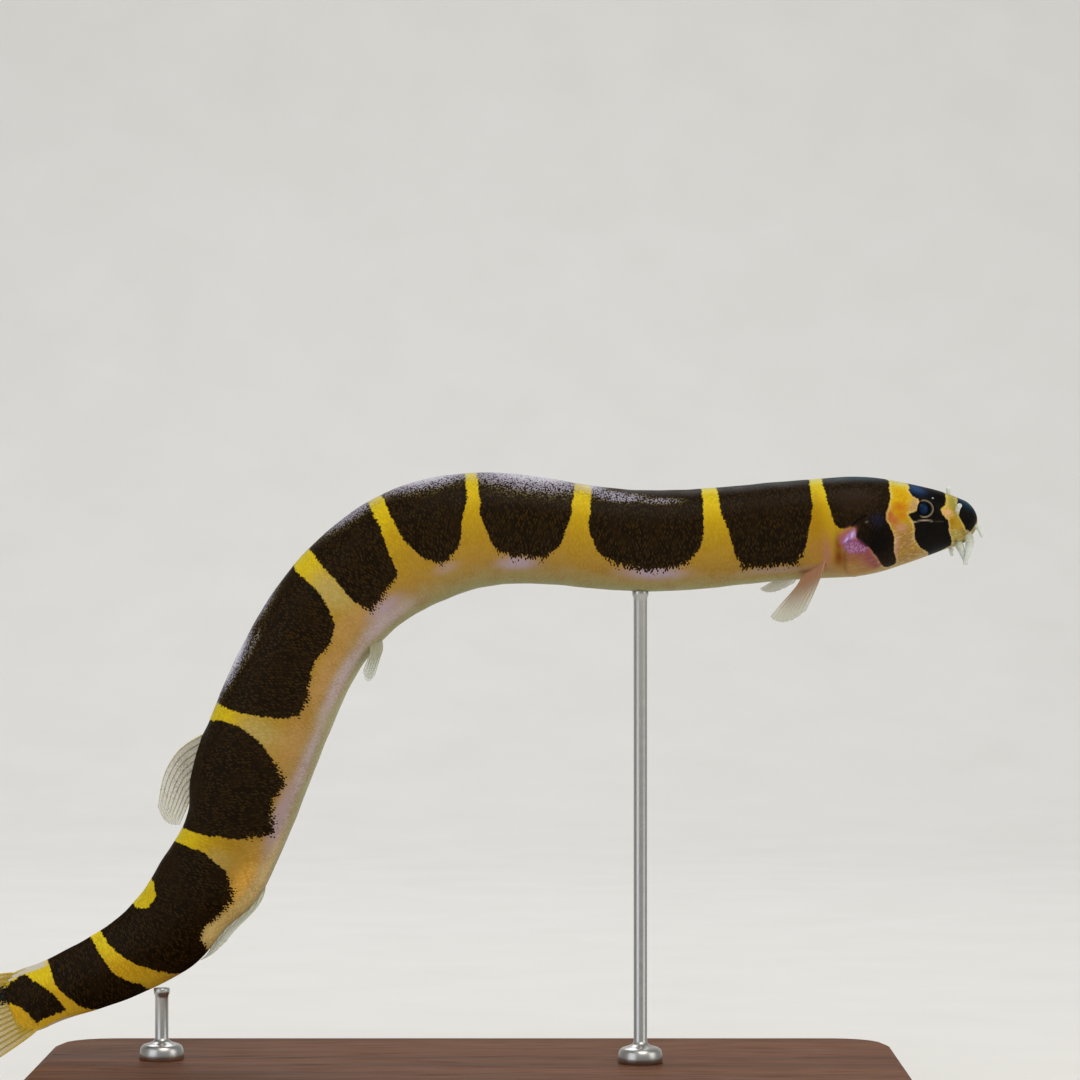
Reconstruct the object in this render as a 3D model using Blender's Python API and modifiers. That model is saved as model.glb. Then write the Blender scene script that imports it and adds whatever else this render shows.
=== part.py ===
"""Kuhli loach, swimming, as a life-size still model on a display stand. Metres, +Z up.

The fish faces +X and its right side faces -Y. Distances along it run from the snout over
the bent spine, and every piece of it is placed by such a distance and an angle round the
body. The origin is the middle of the stand's underside.
"""

import math

import bmesh
import bpy
import numpy as np
from mathutils import Vector

MM = 0.001
GAP = 0.3 * MM
FINE_GAP = 0.2 * MM

# The spine: where the snout is, which way the body leaves it, and where it bends
SNOUT = Vector((33.97, 2.2, 39.81)) * MM
SNOUT_DIP = math.radians(-9.0)
SPINE_LENGTH = 92 * MM
SPINE_STEP = 0.1 * MM
# Middle of the bend, length over which it turns, degrees it turns the tail downwards
BENDS = (
    (1.9, 5, 12.6),
    (13.3, 4, 2.1),
    (24.2, 16, -19.8),
    (37.9, 27, 75.4),
    (52.1, 19, 11.0),
    (67.8, 19, -50.6),
)
# Middle of the sway, length over which it happens, shift towards the fish's left
SWAYS = ((2, 15, -3.6), (27, 26, -1.0), (65, 34, 3.6))
# How far the head leans to its right, then where and by how much the body rights itself
HEAD_LEAN = 20
LEANS = ((15, 28, -16), (45, 30, -4))

# The body's sections: distance, half depth, half width, fullness (2 is an ellipse)
SECTIONS = (
    (0.0, 1.26, 0.98, 2.0),
    (1.3, 1.63, 1.25, 2.1),
    (2.6, 2.08, 1.52, 2.2),
    (4.0, 2.50, 1.76, 2.2),
    (5.4, 2.88, 1.98, 2.2),
    (6.8, 3.21, 2.16, 2.2),
    (8.2, 3.38, 2.26, 2.2),
    (11.0, 3.37, 2.30, 2.15),
    (15.0, 3.33, 2.32, 2.15),
    (20.0, 3.38, 2.36, 2.15),
    (28.0, 3.48, 2.45, 2.15),
    (33.0, 3.80, 2.60, 2.15),
    (37.5, 4.07, 2.70, 2.15),
    (42.5, 3.93, 2.65, 2.15),
    (48.0, 3.82, 2.50, 2.15),
    (53.0, 3.88, 2.40, 2.15),
    (58.5, 3.76, 2.25, 2.1),
    (62.5, 3.48, 2.00, 2.1),
    (66.0, 3.40, 1.75, 2.0),
    (69.0, 3.02, 1.40, 1.8),
    (72.0, 2.64, 1.05, 1.6),
    (75.5, 2.33, 0.80, 1.45),
    (78.5, 2.10, 0.62, 1.4),
    (80.0, 2.20, 0.50, 1.4),
)
NOSE_ROUND = 1.2 * MM
# Hollows in the outline behind the dorsal fin (1) and over the anal fin (-1): where each is,
# how far it reaches and how deep it is
TUCKS = ((1, 61.2, 2.4, 0.32), (-1, 66.6, 1.7, 0.62))

# The lengths that the body is divided into, each from its cut to the next
HEAD_END = 10 * MM
BODY_CUTS = (10, 20, 30, 40, 50, 60, 70, 80)
BODY_NAMES = (
    "body_shoulder",
    "body_front",
    "body_middle",
    "body_bend",
    "body_rear",
    "tail_base",
    "tail_peduncle",
)
BODY_RINGS = 8
BODY_SIDES = 28
HEAD_SIDES = 36
HEAD_RINGS = 24

# The head: eyes, nostrils, mouth and gill opening, by distance and degrees above the flank
EYE_PLACE = 4.35 * MM
EYE_RISE = 33
EYE_RADIUS = 0.55 * MM
EYE_PROUD = 0.12 * MM
EYE_RIM = 0.67 * MM
EYE_RIM_THICKNESS = 0.10 * MM
NOSTRIL_PLACE = 2.05 * MM
NOSTRIL_RISE = 45
NOSTRIL_RADIUS = 0.18 * MM
NOSTRIL_HEIGHT = 0.6 * MM
NOSTRIL_BORE = 0.09 * MM
NOSTRIL_LEAN = 0.1
MOUTH_FRONT = 0.62 * MM
MOUTH_CORNER = 1.75 * MM
MOUTH_RISE = -30
MOUTH_SLIT = 0.11 * MM
MOUTH_PROUD = 0.08 * MM
LIP_RADIUS = 0.20 * MM
LIP_SPACING = 0.27 * MM
LIP_PROUD = 0.1 * MM
LIP_CLOSING = 0.6
GILL_PLACE = 8.75 * MM
GILL_BOW = 0.55 * MM
GILL_RISES = (10, -72)
GILL_SLIT = 0.13 * MM
GILL_RIDGE = 0.24 * MM
SPINE_SLIT = 0.07 * MM
SPINE_SLIT_PLACES = (3.75 * MM, 5.1 * MM)
SPINE_SLIT_RISE = 10.5
SPINE_SLIT_BOW = 2

# The barbels: root's distance and degrees above the flank, length and radius at the root,
# then how far the tip lies forward, to the side and down, as parts of that length
BARBELS = {
    "rostral_inner": (0.41, 18, 0.8, 0.20, (0.44, 0.18, 0.67)),
    "rostral_outer": (0.90, -14, 1.75, 0.27, (-0.05, 0.27, 0.92)),
    "maxillary": (1.48, -43, 1.6, 0.22, (0.75, 0.15, 1.18)),
    "mental": (1.70, -68, 0.45, 0.18, (0.4, 0.15, 1.0)),
}
BARBEL_TIP = 0.12 * MM
BARBEL_PLACES = (0, 0.2, 0.4, 0.6, 0.8, 0.94, 1)

# The fins: thickness of a ray and of the membrane at the root and at the edge
RAY_THICKNESS = (0.80 * MM, 0.46 * MM)
MEMBRANE_THICKNESS = (0.52 * MM, 0.28 * MM)
# Each ray of the two fins on the midline is a curve from its root over a middle point to
# its tip, as distance along the body and height off it, first for the foremost ray
DORSAL_RAYS = 9
DORSAL_FIRST = ((55.35, 0.0), (57.9, 2.3), (61.7, 1.75))
DORSAL_LAST = ((59.6, 0.0), (60.9, 0.05), (62.2, 0.0))
DORSAL_BULGE = 0.5 * MM
DORSAL_SLANT = 0.25
ANAL_RAYS = 8
ANAL_FIRST = ((62.7, 0.0), (64.9, 0.5), (67.3, 0.58))
ANAL_LAST = ((67.8, 0.0), (68.4, 0.1), (69.4, 0.02))
ANAL_BULGE = 0.2 * MM
ANAL_SLANT = 0.15
CAUDAL_RAYS = 16
CAUDAL_ROOT_HALF = 2.1 * MM
CAUDAL_TIP_HALF = 3.7 * MM
CAUDAL_LENGTH = 8.5 * MM
CAUDAL_NOTCH = 0.45 * MM
CAUDAL_CORNER = 0.9 * MM
# The paired fins: the ends of the root as distance and degrees above the flank, the ways
# that the fin points on each side (towards the tail, outwards and down), length, how far it
# fans out, how much shorter its rear edge is, and how many rays and rows it has
PAIRED_FINS = {
    "pectoral": (
        ((10.5, -26), (11.7, -48)),
        {"right": (0.60, 0.30, 0.75), "left": (0.70, 0.25, 0.70)},
        4.6 * MM,
        1.9 * MM,
        0.3,
        9,
        6,
    ),
    "pelvic": (
        ((43.9, -76), (44.9, -62)),
        {"right": (0.91, 0.20, 0.40), "left": (0.91, 0.20, 0.40)},
        3.0 * MM,
        0.4 * MM,
        0.4,
        6,
        5,
    ),
}
# The way that a paired fin fans out at its edge: towards the tail, outwards and up
PAIRED_TWIST = (0.85, 0.50, 0.10)

# The stand: a flat base, and two rods that end just under the belly
BASE_LENGTH = 58 * MM
BASE_WIDTH = 30 * MM
BASE_HEIGHT = 4 * MM
BASE_CORNER = 4 * MM
BASE_EDGE = 0.7 * MM
ROD_RADIUS = 0.6 * MM
ROD_SIDES = 20
COLLAR_RADIUS = 1.5 * MM
COLLAR_HEIGHT = 1.1 * MM
ROD_PLACES = {"front": 22.6 * MM, "rear": 71.6 * MM}

BELLY = -90
SIDES = {"left": 1, "right": -1}


# Collections and materials


def clear_scene():
    """Remove whatever the file holds, so that the model is all there is."""
    for item in list(bpy.data.objects):
        bpy.data.objects.remove(item, do_unlink=True)


def new_collection(name):
    """A collection in the scene, made once."""
    group = bpy.data.collections.new(name)
    bpy.context.scene.collection.children.link(group)
    return group


def material(name, colour, roughness, metallic=0.0):
    """A plain finish by its colour, roughness and whether it is metal."""
    finish = bpy.data.materials.get(name)
    if finish is None:
        finish = bpy.data.materials.new(name)
        finish.use_nodes = True
        shader = finish.node_tree.nodes["Principled BSDF"]
        shader.inputs["Base Color"].default_value = (*colour, 1.0)
        shader.inputs["Roughness"].default_value = roughness
        shader.inputs["Metallic"].default_value = metallic
    return finish


def dark_skin():
    return material("banded_skin", (0.055, 0.035, 0.022), 0.4)


def pale_skin():
    return material("pale_skin", (0.55, 0.36, 0.13), 0.4)


def fin_membrane():
    return material("fin_membrane", (0.55, 0.50, 0.36), 0.45)


def eye_lens():
    return material("eye_lens", (0.012, 0.02, 0.045), 0.12)


def walnut():
    return material("walnut", (0.16, 0.085, 0.045), 0.45)


def polished_steel():
    return material("polished_steel", (0.60, 0.60, 0.58), 0.25, 1.0)


# The shape of the body


def eased(t):
    """A smooth step from 0 to 1 as t goes from 0 to 1."""
    t = min(max(t, 0.0), 1.0)
    return t * t * (3.0 - 2.0 * t)


def dip(distance):
    """How steeply the body runs down towards the tail here, in radians."""
    turned = SNOUT_DIP
    for middle, length, degrees in BENDS:
        turned += math.radians(degrees) * eased((distance / MM - middle) / length + 0.5)
    return turned


def sway(distance):
    """How far the body lies to the left of where the snout does."""
    shift = 0.0
    for middle, length, amount in SWAYS:
        shift += amount * MM * eased((distance / MM - middle) / length + 0.5)
    return shift


def lean(distance):
    """How far the back leans over to the fish's right here, in radians."""
    degrees = HEAD_LEAN
    for middle, length, amount in LEANS:
        degrees += amount * eased((distance / MM - middle) / length + 0.5)
    return math.radians(degrees)


def trace_spine():
    """Points of the spine, one each SPINE_STEP, by following its dip and sway."""
    points = [SNOUT.copy()]
    for step in range(round(SPINE_LENGTH / SPINE_STEP)):
        here = dip((step + 0.5) * SPINE_STEP)
        sideways = sway((step + 1) * SPINE_STEP) - sway(step * SPINE_STEP)
        points.append(
            points[-1]
            + Vector((-math.cos(here) * SPINE_STEP, sideways, -math.sin(here) * SPINE_STEP))
        )
    return points


SPINE = trace_spine()


def spine_at(distance):
    """The point of the spine at this distance from the snout."""
    place = max(distance / SPINE_STEP, 0.0)
    index = min(int(place), len(SPINE) - 2)
    return SPINE[index].lerp(SPINE[index + 1], place - index)


def axes_at(distance):
    """The directions to the tail, to the fish's left and to its back, at this distance."""
    here = dip(distance)
    slope = (sway(distance + SPINE_STEP) - sway(distance - SPINE_STEP)) / (2 * SPINE_STEP)
    tail = Vector((-math.cos(here), slope, -math.sin(here))).normalized()
    upright = Vector((-math.sin(here), 0.0, math.cos(here)))
    level = tail.cross(upright).normalized()
    over = lean(distance)
    left = level * math.cos(over) + upright * math.sin(over)
    return tail, left, left.cross(tail).normalized()


def section_at(distance):
    """Half depth, half width and fullness here, on smooth curves through SECTIONS."""
    places = [row[0] * MM for row in SECTIONS]
    distance = min(max(distance, places[0]), places[-1])
    index = min(int(np.searchsorted(places, distance, side="right")) - 1, len(places) - 2)
    span = places[index + 1] - places[index]
    t = (distance - places[index]) / span
    found = []
    for column in (1, 2, 3):
        values = [row[column] for row in SECTIONS]
        slopes = np.gradient(values, places)
        found.append(
            values[index] * (1 + 2 * t) * (1 - t) ** 2
            + slopes[index] * span * t * (1 - t) ** 2
            + values[index + 1] * t * t * (3 - 2 * t)
            + slopes[index + 1] * span * t * t * (t - 1)
        )
    depth, width, fullness = found
    rounding = 1.0
    if distance < NOSE_ROUND:
        rounding = math.sqrt(max(1.0 - (1.0 - distance / NOSE_ROUND) ** 2, 0.0))
    return depth * MM * rounding, width * MM * rounding, fullness


def skin_point(distance, degrees, side=1):
    """The point of the skin at this distance and this many degrees above the flank."""
    half_depth, half_width, fullness = section_at(distance)
    _, left, back = axes_at(distance)
    angle = math.radians(degrees)
    across = math.copysign(abs(math.cos(angle)) ** (2 / fullness), math.cos(angle))
    upward = math.copysign(abs(math.sin(angle)) ** (2 / fullness), math.sin(angle))
    for facing, middle, spread, depth in TUCKS:
        if upward * facing > 0:
            half_depth -= depth * MM * math.exp(-(((distance / MM - middle) / spread) ** 2))
    return spine_at(distance) + left * (side * across * half_width) + back * (upward * half_depth)


def skin_normal(distance, degrees, side=1):
    """The outward direction of the skin there."""
    along = skin_point(distance + 0.1 * MM, degrees, side) - skin_point(
        distance - 0.1 * MM, degrees, side
    )
    around = skin_point(distance, degrees + 2, side) - skin_point(distance, degrees - 2, side)
    normal = along.cross(around).normalized()
    outward = skin_point(distance, degrees, side) - spine_at(distance)
    return normal if normal.dot(outward) > 0 else -normal


def ring_at(distance, sides):
    """The points of one section of the body, counted round from the left flank."""
    return [skin_point(distance, 360.0 * i / sides) for i in range(sides)]


# Making meshes


def place_object(name, data, group, finish):
    """An object in a collection, with its finish."""
    item = bpy.data.objects.new(name, data)
    group.objects.link(item)
    if finish is not None:
        data.materials.clear()
        data.materials.append(finish)
    return item


def mesh_object(name, shape, group, finish=None, smooth=True):
    """An object made from a bmesh, with its faces turned outwards."""
    bmesh.ops.recalc_face_normals(shape, faces=shape.faces)
    data = bpy.data.meshes.new(name)
    shape.to_mesh(data)
    shape.free()
    if smooth:
        data.shade_smooth()
    return place_object(name, data, group, finish)


def loft(name, rings, group, finish=None):
    """A closed solid through rings of equally many points."""
    shape = bmesh.new()
    loops = [[shape.verts.new(point) for point in ring] for ring in rings]
    for front, rear in zip(loops, loops[1:]):
        for i in range(len(front)):
            j = (i + 1) % len(front)
            shape.faces.new((front[i], front[j], rear[j], rear[i]))
    for ring in (loops[0], loops[-1]):
        shape.faces.new(ring)
    return mesh_object(name, shape, group, finish)


def tube(name, points, radii, group, finish=None, roundness=1):
    """A closed round tube along points, whose radius may change from point to point."""
    line = bpy.data.curves.new(name, "CURVE")
    line.dimensions = "3D"
    line.bevel_depth = 1.0
    line.bevel_resolution = roundness
    line.use_fill_caps = True
    spline = line.splines.new("POLY")
    spline.points.add(len(points) - 1)
    for slot, point, radius in zip(spline.points, points, radii):
        slot.co = (*point, 1.0)
        slot.radius = radius
    guide = bpy.data.objects.new(name, line)
    bpy.context.scene.collection.objects.link(guide)
    bpy.context.view_layer.update()
    graph = bpy.context.evaluated_depsgraph_get()
    data = bpy.data.meshes.new_from_object(guide.evaluated_get(graph))
    bpy.data.objects.remove(guide, do_unlink=True)
    shape = bmesh.new()
    shape.from_mesh(data)
    bmesh.ops.remove_doubles(shape, verts=shape.verts, dist=0.001 * MM)
    bpy.data.meshes.remove(data)
    return mesh_object(name, shape, group, finish)


def straight_tube(name, start, end, radii, group):
    """A round peg from start to end."""
    return tube(name, (start, end), radii, group)


def ball(name, middle, radius, group, finish=None, segments=16, rings=10):
    """A sphere."""
    shape = bmesh.new()
    bmesh.ops.create_uvsphere(shape, u_segments=segments, v_segments=rings, radius=radius)
    bmesh.ops.translate(shape, verts=shape.verts, vec=middle)
    return mesh_object(name, shape, group, finish)


def combine(target, others, operation):
    """Join a collection's meshes to the target, or cut them from it, and remove them."""
    change = target.modifiers.new(operation.lower(), "BOOLEAN")
    change.operation = operation
    change.operand_type = "COLLECTION"
    change.collection = others
    change.solver = "EXACT"
    graph = bpy.context.evaluated_depsgraph_get()
    data = bpy.data.meshes.new_from_object(target.evaluated_get(graph))
    target.modifiers.clear()
    finish = target.data.materials[0]
    target.data = data
    data.materials.clear()
    data.materials.append(finish)
    for item in list(others.objects):
        bpy.data.objects.remove(item, do_unlink=True)
    bpy.data.collections.remove(others)


def keep_largest(target):
    """Keep only the target's largest closed surface."""
    shape = bmesh.new()
    shape.from_mesh(target.data)
    left = set(shape.verts)
    shells = []
    while left:
        front = [left.pop()]
        shell = set(front)
        while front:
            for edge in front.pop().link_edges:
                for vert in edge.verts:
                    if vert in left:
                        left.discard(vert)
                        shell.add(vert)
                        front.append(vert)
        shells.append(shell)
    largest = max(shells, key=len)
    scraps = [vert for shell in shells if shell is not largest for vert in shell]
    bmesh.ops.delete(shape, geom=scraps, context="VERTS")
    shape.to_mesh(target.data)
    shape.free()
    target.data.shade_smooth()


# The head


def eye_middle(side):
    """The middle of the eyeball, set back from the skin so that it stands a little proud."""
    out = skin_normal(EYE_PLACE, EYE_RISE, side)
    return skin_point(EYE_PLACE, EYE_RISE, side) - out * (EYE_RADIUS - EYE_PROUD)


def circle_about(middle, normal, radius, count):
    """Points of a circle, with the first one given again at the end."""
    first = normal.orthogonal().normalized()
    second = normal.cross(first)
    turns = [2 * math.pi * i / count for i in range(count + 1)]
    return [middle + (first * math.cos(t) + second * math.sin(t)) * radius for t in turns]


def eye_rim(side, group):
    """The fold of skin round the eye, as a ring half sunk in the head."""
    out = skin_normal(EYE_PLACE, EYE_RISE, side)
    middle = skin_point(EYE_PLACE, EYE_RISE, side) - out * (0.05 * MM)
    count = 18
    shape = bmesh.new()
    rings = []
    for point in circle_about(middle, out, EYE_RIM, count)[:-1]:
        away = (point - middle).normalized()
        turns = [2 * math.pi * i / 6 for i in range(6)]
        rings.append(
            [
                shape.verts.new(
                    point + (away * math.cos(t) + out * math.sin(t)) * EYE_RIM_THICKNESS
                )
                for t in turns
            ]
        )
    for here, there in zip(rings, rings[1:] + rings[:1]):
        for i in range(6):
            j = (i + 1) % 6
            shape.faces.new((here[i], here[j], there[j], there[i]))
    return mesh_object("eye_rim", shape, group)


def nostril_ends(side):
    """The foot, sunk in the head, and the mouth of the nostril's tube."""
    out = skin_normal(NOSTRIL_PLACE, NOSTRIL_RISE, side)
    forward = -axes_at(NOSTRIL_PLACE)[0]
    aim = (out + forward * NOSTRIL_LEAN).normalized()
    foot = skin_point(NOSTRIL_PLACE, NOSTRIL_RISE, side)
    return foot - aim * NOSTRIL_HEIGHT, foot + aim * NOSTRIL_HEIGHT


def mouth_line(shift, depth, points=11):
    """Points across the underside of the snout, from corner to corner of the mouth."""
    found = []
    for i in range(points):
        t = 2.0 * i / (points - 1) - 1.0
        side = 1 if t >= 0 else -1
        rise = BELLY + (MOUTH_RISE - BELLY) * abs(t)
        closing = 1 - LIP_CLOSING * t**4
        place = MOUTH_FRONT + (MOUTH_CORNER - MOUTH_FRONT) * t * t + shift * closing
        skin = skin_point(place, rise, side)
        found.append(skin - skin_normal(place, rise, side) * depth)
    return found


def gill_line(side, shift, depth, points=9):
    """Points down the edge of the gill cover."""
    found = []
    for i in range(points):
        t = i / (points - 1)
        rise = GILL_RISES[0] + (GILL_RISES[1] - GILL_RISES[0]) * t
        place = GILL_PLACE + GILL_BOW * math.sin(math.pi * t) + shift
        skin = skin_point(place, rise, side)
        found.append(skin - skin_normal(place, rise, side) * depth)
    return found


def tapered(radius, count):
    """Radii along a line, full in the middle and fine at both ends."""
    return [radius * (0.35 + 0.65 * math.sin(math.pi * i / (count - 1))) for i in range(count)]


def spine_slit(side, points=5):
    """Points along the slit under the eye that hides the loach's small spine."""
    start, end = SPINE_SLIT_PLACES
    found = []
    for i in range(points):
        place = start + (end - start) * i / (points - 1)
        bow = SPINE_SLIT_BOW * math.sin(math.pi * i / (points - 1))
        found.append(skin_point(place, SPINE_SLIT_RISE + bow, side))
    return found


def add_head(group):
    """The head, with the forms raised on it and then the openings cut in it."""
    rings = []
    for i in range(HEAD_RINGS + 1):
        t = i / HEAD_RINGS
        rings.append(ring_at(0.02 * MM + (HEAD_END - GAP / 2) * t**1.5, HEAD_SIDES))
    head = loft("head", rings, group, pale_skin())

    raised = new_collection("raised")
    lip_radii = tapered(LIP_RADIUS, 11)
    for shift in (-LIP_SPACING, LIP_SPACING):
        tube("lip", mouth_line(shift, -LIP_PROUD), lip_radii, raised, roundness=2)
    for side in SIDES.values():
        foot, mouth = nostril_ends(side)
        straight_tube("nostril", foot, mouth, (NOSTRIL_RADIUS * 1.7, NOSTRIL_RADIUS), raised)
        ridge = gill_line(side, -0.3 * MM, 0.1 * MM)
        tube("gill_ridge", ridge, tapered(GILL_RIDGE, len(ridge)), raised)
        eye_rim(side, raised)
    combine(head, raised, "UNION")

    openings = new_collection("openings")
    tube("mouth_slit", mouth_line(0.0, -MOUTH_PROUD), [MOUTH_SLIT] * 11, openings)
    for side in SIDES.values():
        foot, mouth = nostril_ends(side)
        reach = (mouth - foot) * 0.25
        straight_tube("bore", foot + reach * 2, mouth + reach, (NOSTRIL_BORE,) * 2, openings)
        edge = gill_line(side, 0.0, 0.02 * MM)
        tube("gill_slit", edge, tapered(GILL_SLIT, len(edge)), openings)
        tube("spine_slit", spine_slit(side), tapered(SPINE_SLIT, 5), openings)
        ball("socket", eye_middle(side), EYE_RADIUS + FINE_GAP, openings)
    combine(head, openings, "DIFFERENCE")
    keep_largest(head)


def add_eyes(group):
    """An eyeball in each socket."""
    for name, side in SIDES.items():
        ball(f"eye_{name}", eye_middle(side), EYE_RADIUS, group, eye_lens())


def add_barbels(group):
    """Four pairs of barbels, each a tapered tube that bends down from its root."""
    for kind, (place, rise, length, thick, aim) in BARBELS.items():
        for name, side in SIDES.items():
            place_m = place * MM
            root_radius = thick * MM
            tail, left, back = axes_at(place_m)
            out = skin_normal(place_m, rise, side)
            forward, outward, down = aim
            tip_way = (left * side * outward - tail * forward - back * down).normalized()
            root = skin_point(place_m, rise, side) + out * (FINE_GAP + root_radius * 0.2)
            points = []
            radii = []
            for t in BARBEL_PLACES:
                way = (out * (1 - t) + tip_way * (0.5 + t)).normalized()
                points.append(root + way * (length * MM * t))
                rounding = 0.35 if t == 1 else 1
                radii.append((root_radius + (BARBEL_TIP - root_radius) * t) * rounding)
            tube(f"barbel_{kind}_{name}", points, radii, group, pale_skin())


# The lengths of the body


def add_body(group):
    """The lengths of the trunk and tail, with a thin cut between each and the next."""
    for index, name in enumerate(BODY_NAMES):
        start = BODY_CUTS[index] * MM + GAP / 2
        end = BODY_CUTS[index + 1] * MM - GAP / 2
        places = [start + (end - start) * i / BODY_RINGS for i in range(BODY_RINGS + 1)]
        finish = dark_skin() if index % 2 else pale_skin()
        loft(name, [ring_at(place, BODY_SIDES) for place in places], group, finish)


# The fins


def fin(name, middle, rays, rows, group):
    """A thin closed solid on the surface middle(across, out), both from 0 to 1, with a
    ridge along each ray and a hollow between it and the next."""
    columns = 2 * rays - 1
    shape = bmesh.new()
    faces = []
    for face in (1, -1):
        grid = []
        for i in range(columns):
            across = i / (columns - 1)
            line = []
            for j in range(rows + 1):
                out = j / rows
                root, edge = MEMBRANE_THICKNESS if i % 2 else RAY_THICKNESS
                thickness = root + (edge - root) * out
                span = middle(min(across + 0.01, 1), out) - middle(max(across - 0.01, 0), out)
                ray = middle(across, min(out + 0.01, 1)) - middle(across, max(out - 0.01, 0))
                normal = span.cross(ray).normalized()
                line.append(shape.verts.new(middle(across, out) + normal * (face * thickness / 2)))
            grid.append(line)
        faces.append(grid)
    for grid in faces:
        for i in range(columns - 1):
            for j in range(rows):
                shape.faces.new((grid[i][j], grid[i + 1][j], grid[i + 1][j + 1]))
                shape.faces.new((grid[i][j], grid[i + 1][j + 1], grid[i][j + 1]))
    edge_cells = [(i, 0) for i in range(columns)]
    edge_cells += [(columns - 1, j) for j in range(1, rows + 1)]
    edge_cells += [(i, rows) for i in range(columns - 2, -1, -1)]
    edge_cells += [(0, j) for j in range(rows - 1, 0, -1)]
    front, rear = faces
    for here, there in zip(edge_cells, edge_cells[1:] + edge_cells[:1]):
        corners = (front[here[0]][here[1]], front[there[0]][there[1]])
        corners += (rear[there[0]][there[1]], rear[here[0]][here[1]])
        shape.faces.new(corners[:3])
        shape.faces.new((corners[0], corners[2], corners[3]))
    return mesh_object(name, shape, group, fin_membrane(), smooth=False)


def midline_fin(name, first, last, bulge, slant, degrees, rays, group):
    """A fin on the back or belly, from its foremost and its hindmost ray."""

    def middle(across, out):
        curve = []
        for start, end in zip(first, last):
            place = start[0] + (end[0] - start[0]) * across
            height = start[1] + (end[1] - start[1]) * across
            curve.append((place * MM, height * MM))
        (p0, h0), (p1, h1), (p2, h2) = curve
        place = p0 * (1 - out) ** 2 + 2 * p1 * out * (1 - out) + p2 * out * out
        place += bulge * out * math.sin(math.pi * across)
        height = h0 * (1 - out) ** 2 + 2 * h1 * out * (1 - out) + h2 * out * out
        _, left, back = axes_at(place)
        outward = back if degrees > 0 else -back
        skin = skin_point(place, degrees)
        return skin + outward * (GAP + height) + left * (height * slant * out)

    fin(name, middle, rays, 7, group)


def add_midline_fins(group):
    """The dorsal fin, and the anal fin folded along the belly."""
    dorsal = (DORSAL_FIRST, DORSAL_LAST, DORSAL_BULGE, DORSAL_SLANT, 90, DORSAL_RAYS)
    anal = (ANAL_FIRST, ANAL_LAST, ANAL_BULGE, ANAL_SLANT, BELLY, ANAL_RAYS)
    midline_fin("fin_dorsal", *dorsal, group)
    midline_fin("fin_anal", *anal, group)


def add_caudal_fin(group):
    """The tail fin: a fan on from the end of the body, cut almost straight across."""
    root = BODY_CUTS[-1] * MM + GAP / 2

    def middle(across, out):
        height = 1.0 - 2.0 * across
        reach = CAUDAL_LENGTH - CAUDAL_NOTCH * (1.0 - height * height)
        reach -= CAUDAL_CORNER * height**4
        place = root + reach * out
        half = CAUDAL_ROOT_HALF + (CAUDAL_TIP_HALF - CAUDAL_ROOT_HALF) * out**0.8
        _, _, back = axes_at(place)
        return spine_at(place) + back * (half * height)

    fin("fin_caudal", middle, CAUDAL_RAYS, 7, group)


def add_paired_fins(group):
    """The pectoral fins behind the gill covers and the pelvic fins under the belly."""
    off = GAP + RAY_THICKNESS[0] / 2
    for kind, (ends, aims, length, spread, shorter, rays, rows) in PAIRED_FINS.items():
        (start, first_rise), (end, last_rise) = ends
        for name, side in SIDES.items():
            tail, left, back = axes_at(start * MM)
            to_tail, outward, down = aims[name]
            aim = (tail * to_tail + left * (side * outward) - back * down).normalized()
            to_tail, outward, up = PAIRED_TWIST
            twist = (tail * to_tail + left * (side * outward) + back * up).normalized()

            def middle(across, out):
                place = (start + (end - start) * across) * MM
                rise = first_rise + (last_rise - first_rise) * across
                root = skin_point(place, rise, side) + skin_normal(place, rise, side) * off
                fan = (tail * (1 - out) + twist * out).normalized()
                reach = length * (1 - shorter * across**2 - 0.12 * (1 - across) ** 6)
                return root + aim * (reach * out) + fan * (spread * (across - 0.5) * out)

            fin(f"fin_{kind}_{name}", middle, rays, rows, group)


# The stand


def add_base(group):
    """The flat base, a block with rounded corners and a softened upper edge."""
    shape = bmesh.new()
    bmesh.ops.create_cube(shape, size=1.0)
    bmesh.ops.scale(shape, verts=shape.verts, vec=(BASE_LENGTH, BASE_WIDTH, BASE_HEIGHT))
    bmesh.ops.translate(shape, verts=shape.verts, vec=(0, 0, BASE_HEIGHT / 2))
    upright = [e for e in shape.edges if abs(e.verts[0].co.z - e.verts[1].co.z) > BASE_HEIGHT / 2]
    bmesh.ops.bevel(
        shape, geom=upright, offset=BASE_CORNER, segments=5, affect="EDGES", profile=0.5
    )
    rim = [e for e in shape.edges if min(v.co.z for v in e.verts) > BASE_HEIGHT * 0.9]
    bmesh.ops.bevel(shape, geom=rim, offset=BASE_EDGE, segments=2, affect="EDGES", profile=0.5)
    mesh_object("stand_base", shape, group, walnut(), smooth=False)


def height_of(point):
    """How high a point lies."""
    return point.z


def rod_end(place):
    """Where a rod stands under the belly, and how high it reaches without touching it."""
    middle = min((skin_point(place, BELLY + turn) for turn in range(-30, 31, 2)), key=height_of)
    lowest = middle.z
    for step in range(-15, 16):
        for turn in range(-60, 61, 4):
            skin = skin_point(place + step * SPINE_STEP, BELLY + turn)
            if math.hypot(skin.x - middle.x, skin.y - middle.y) < ROD_RADIUS + GAP / 2:
                lowest = min(lowest, skin.z)
    return middle, lowest - GAP


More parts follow.
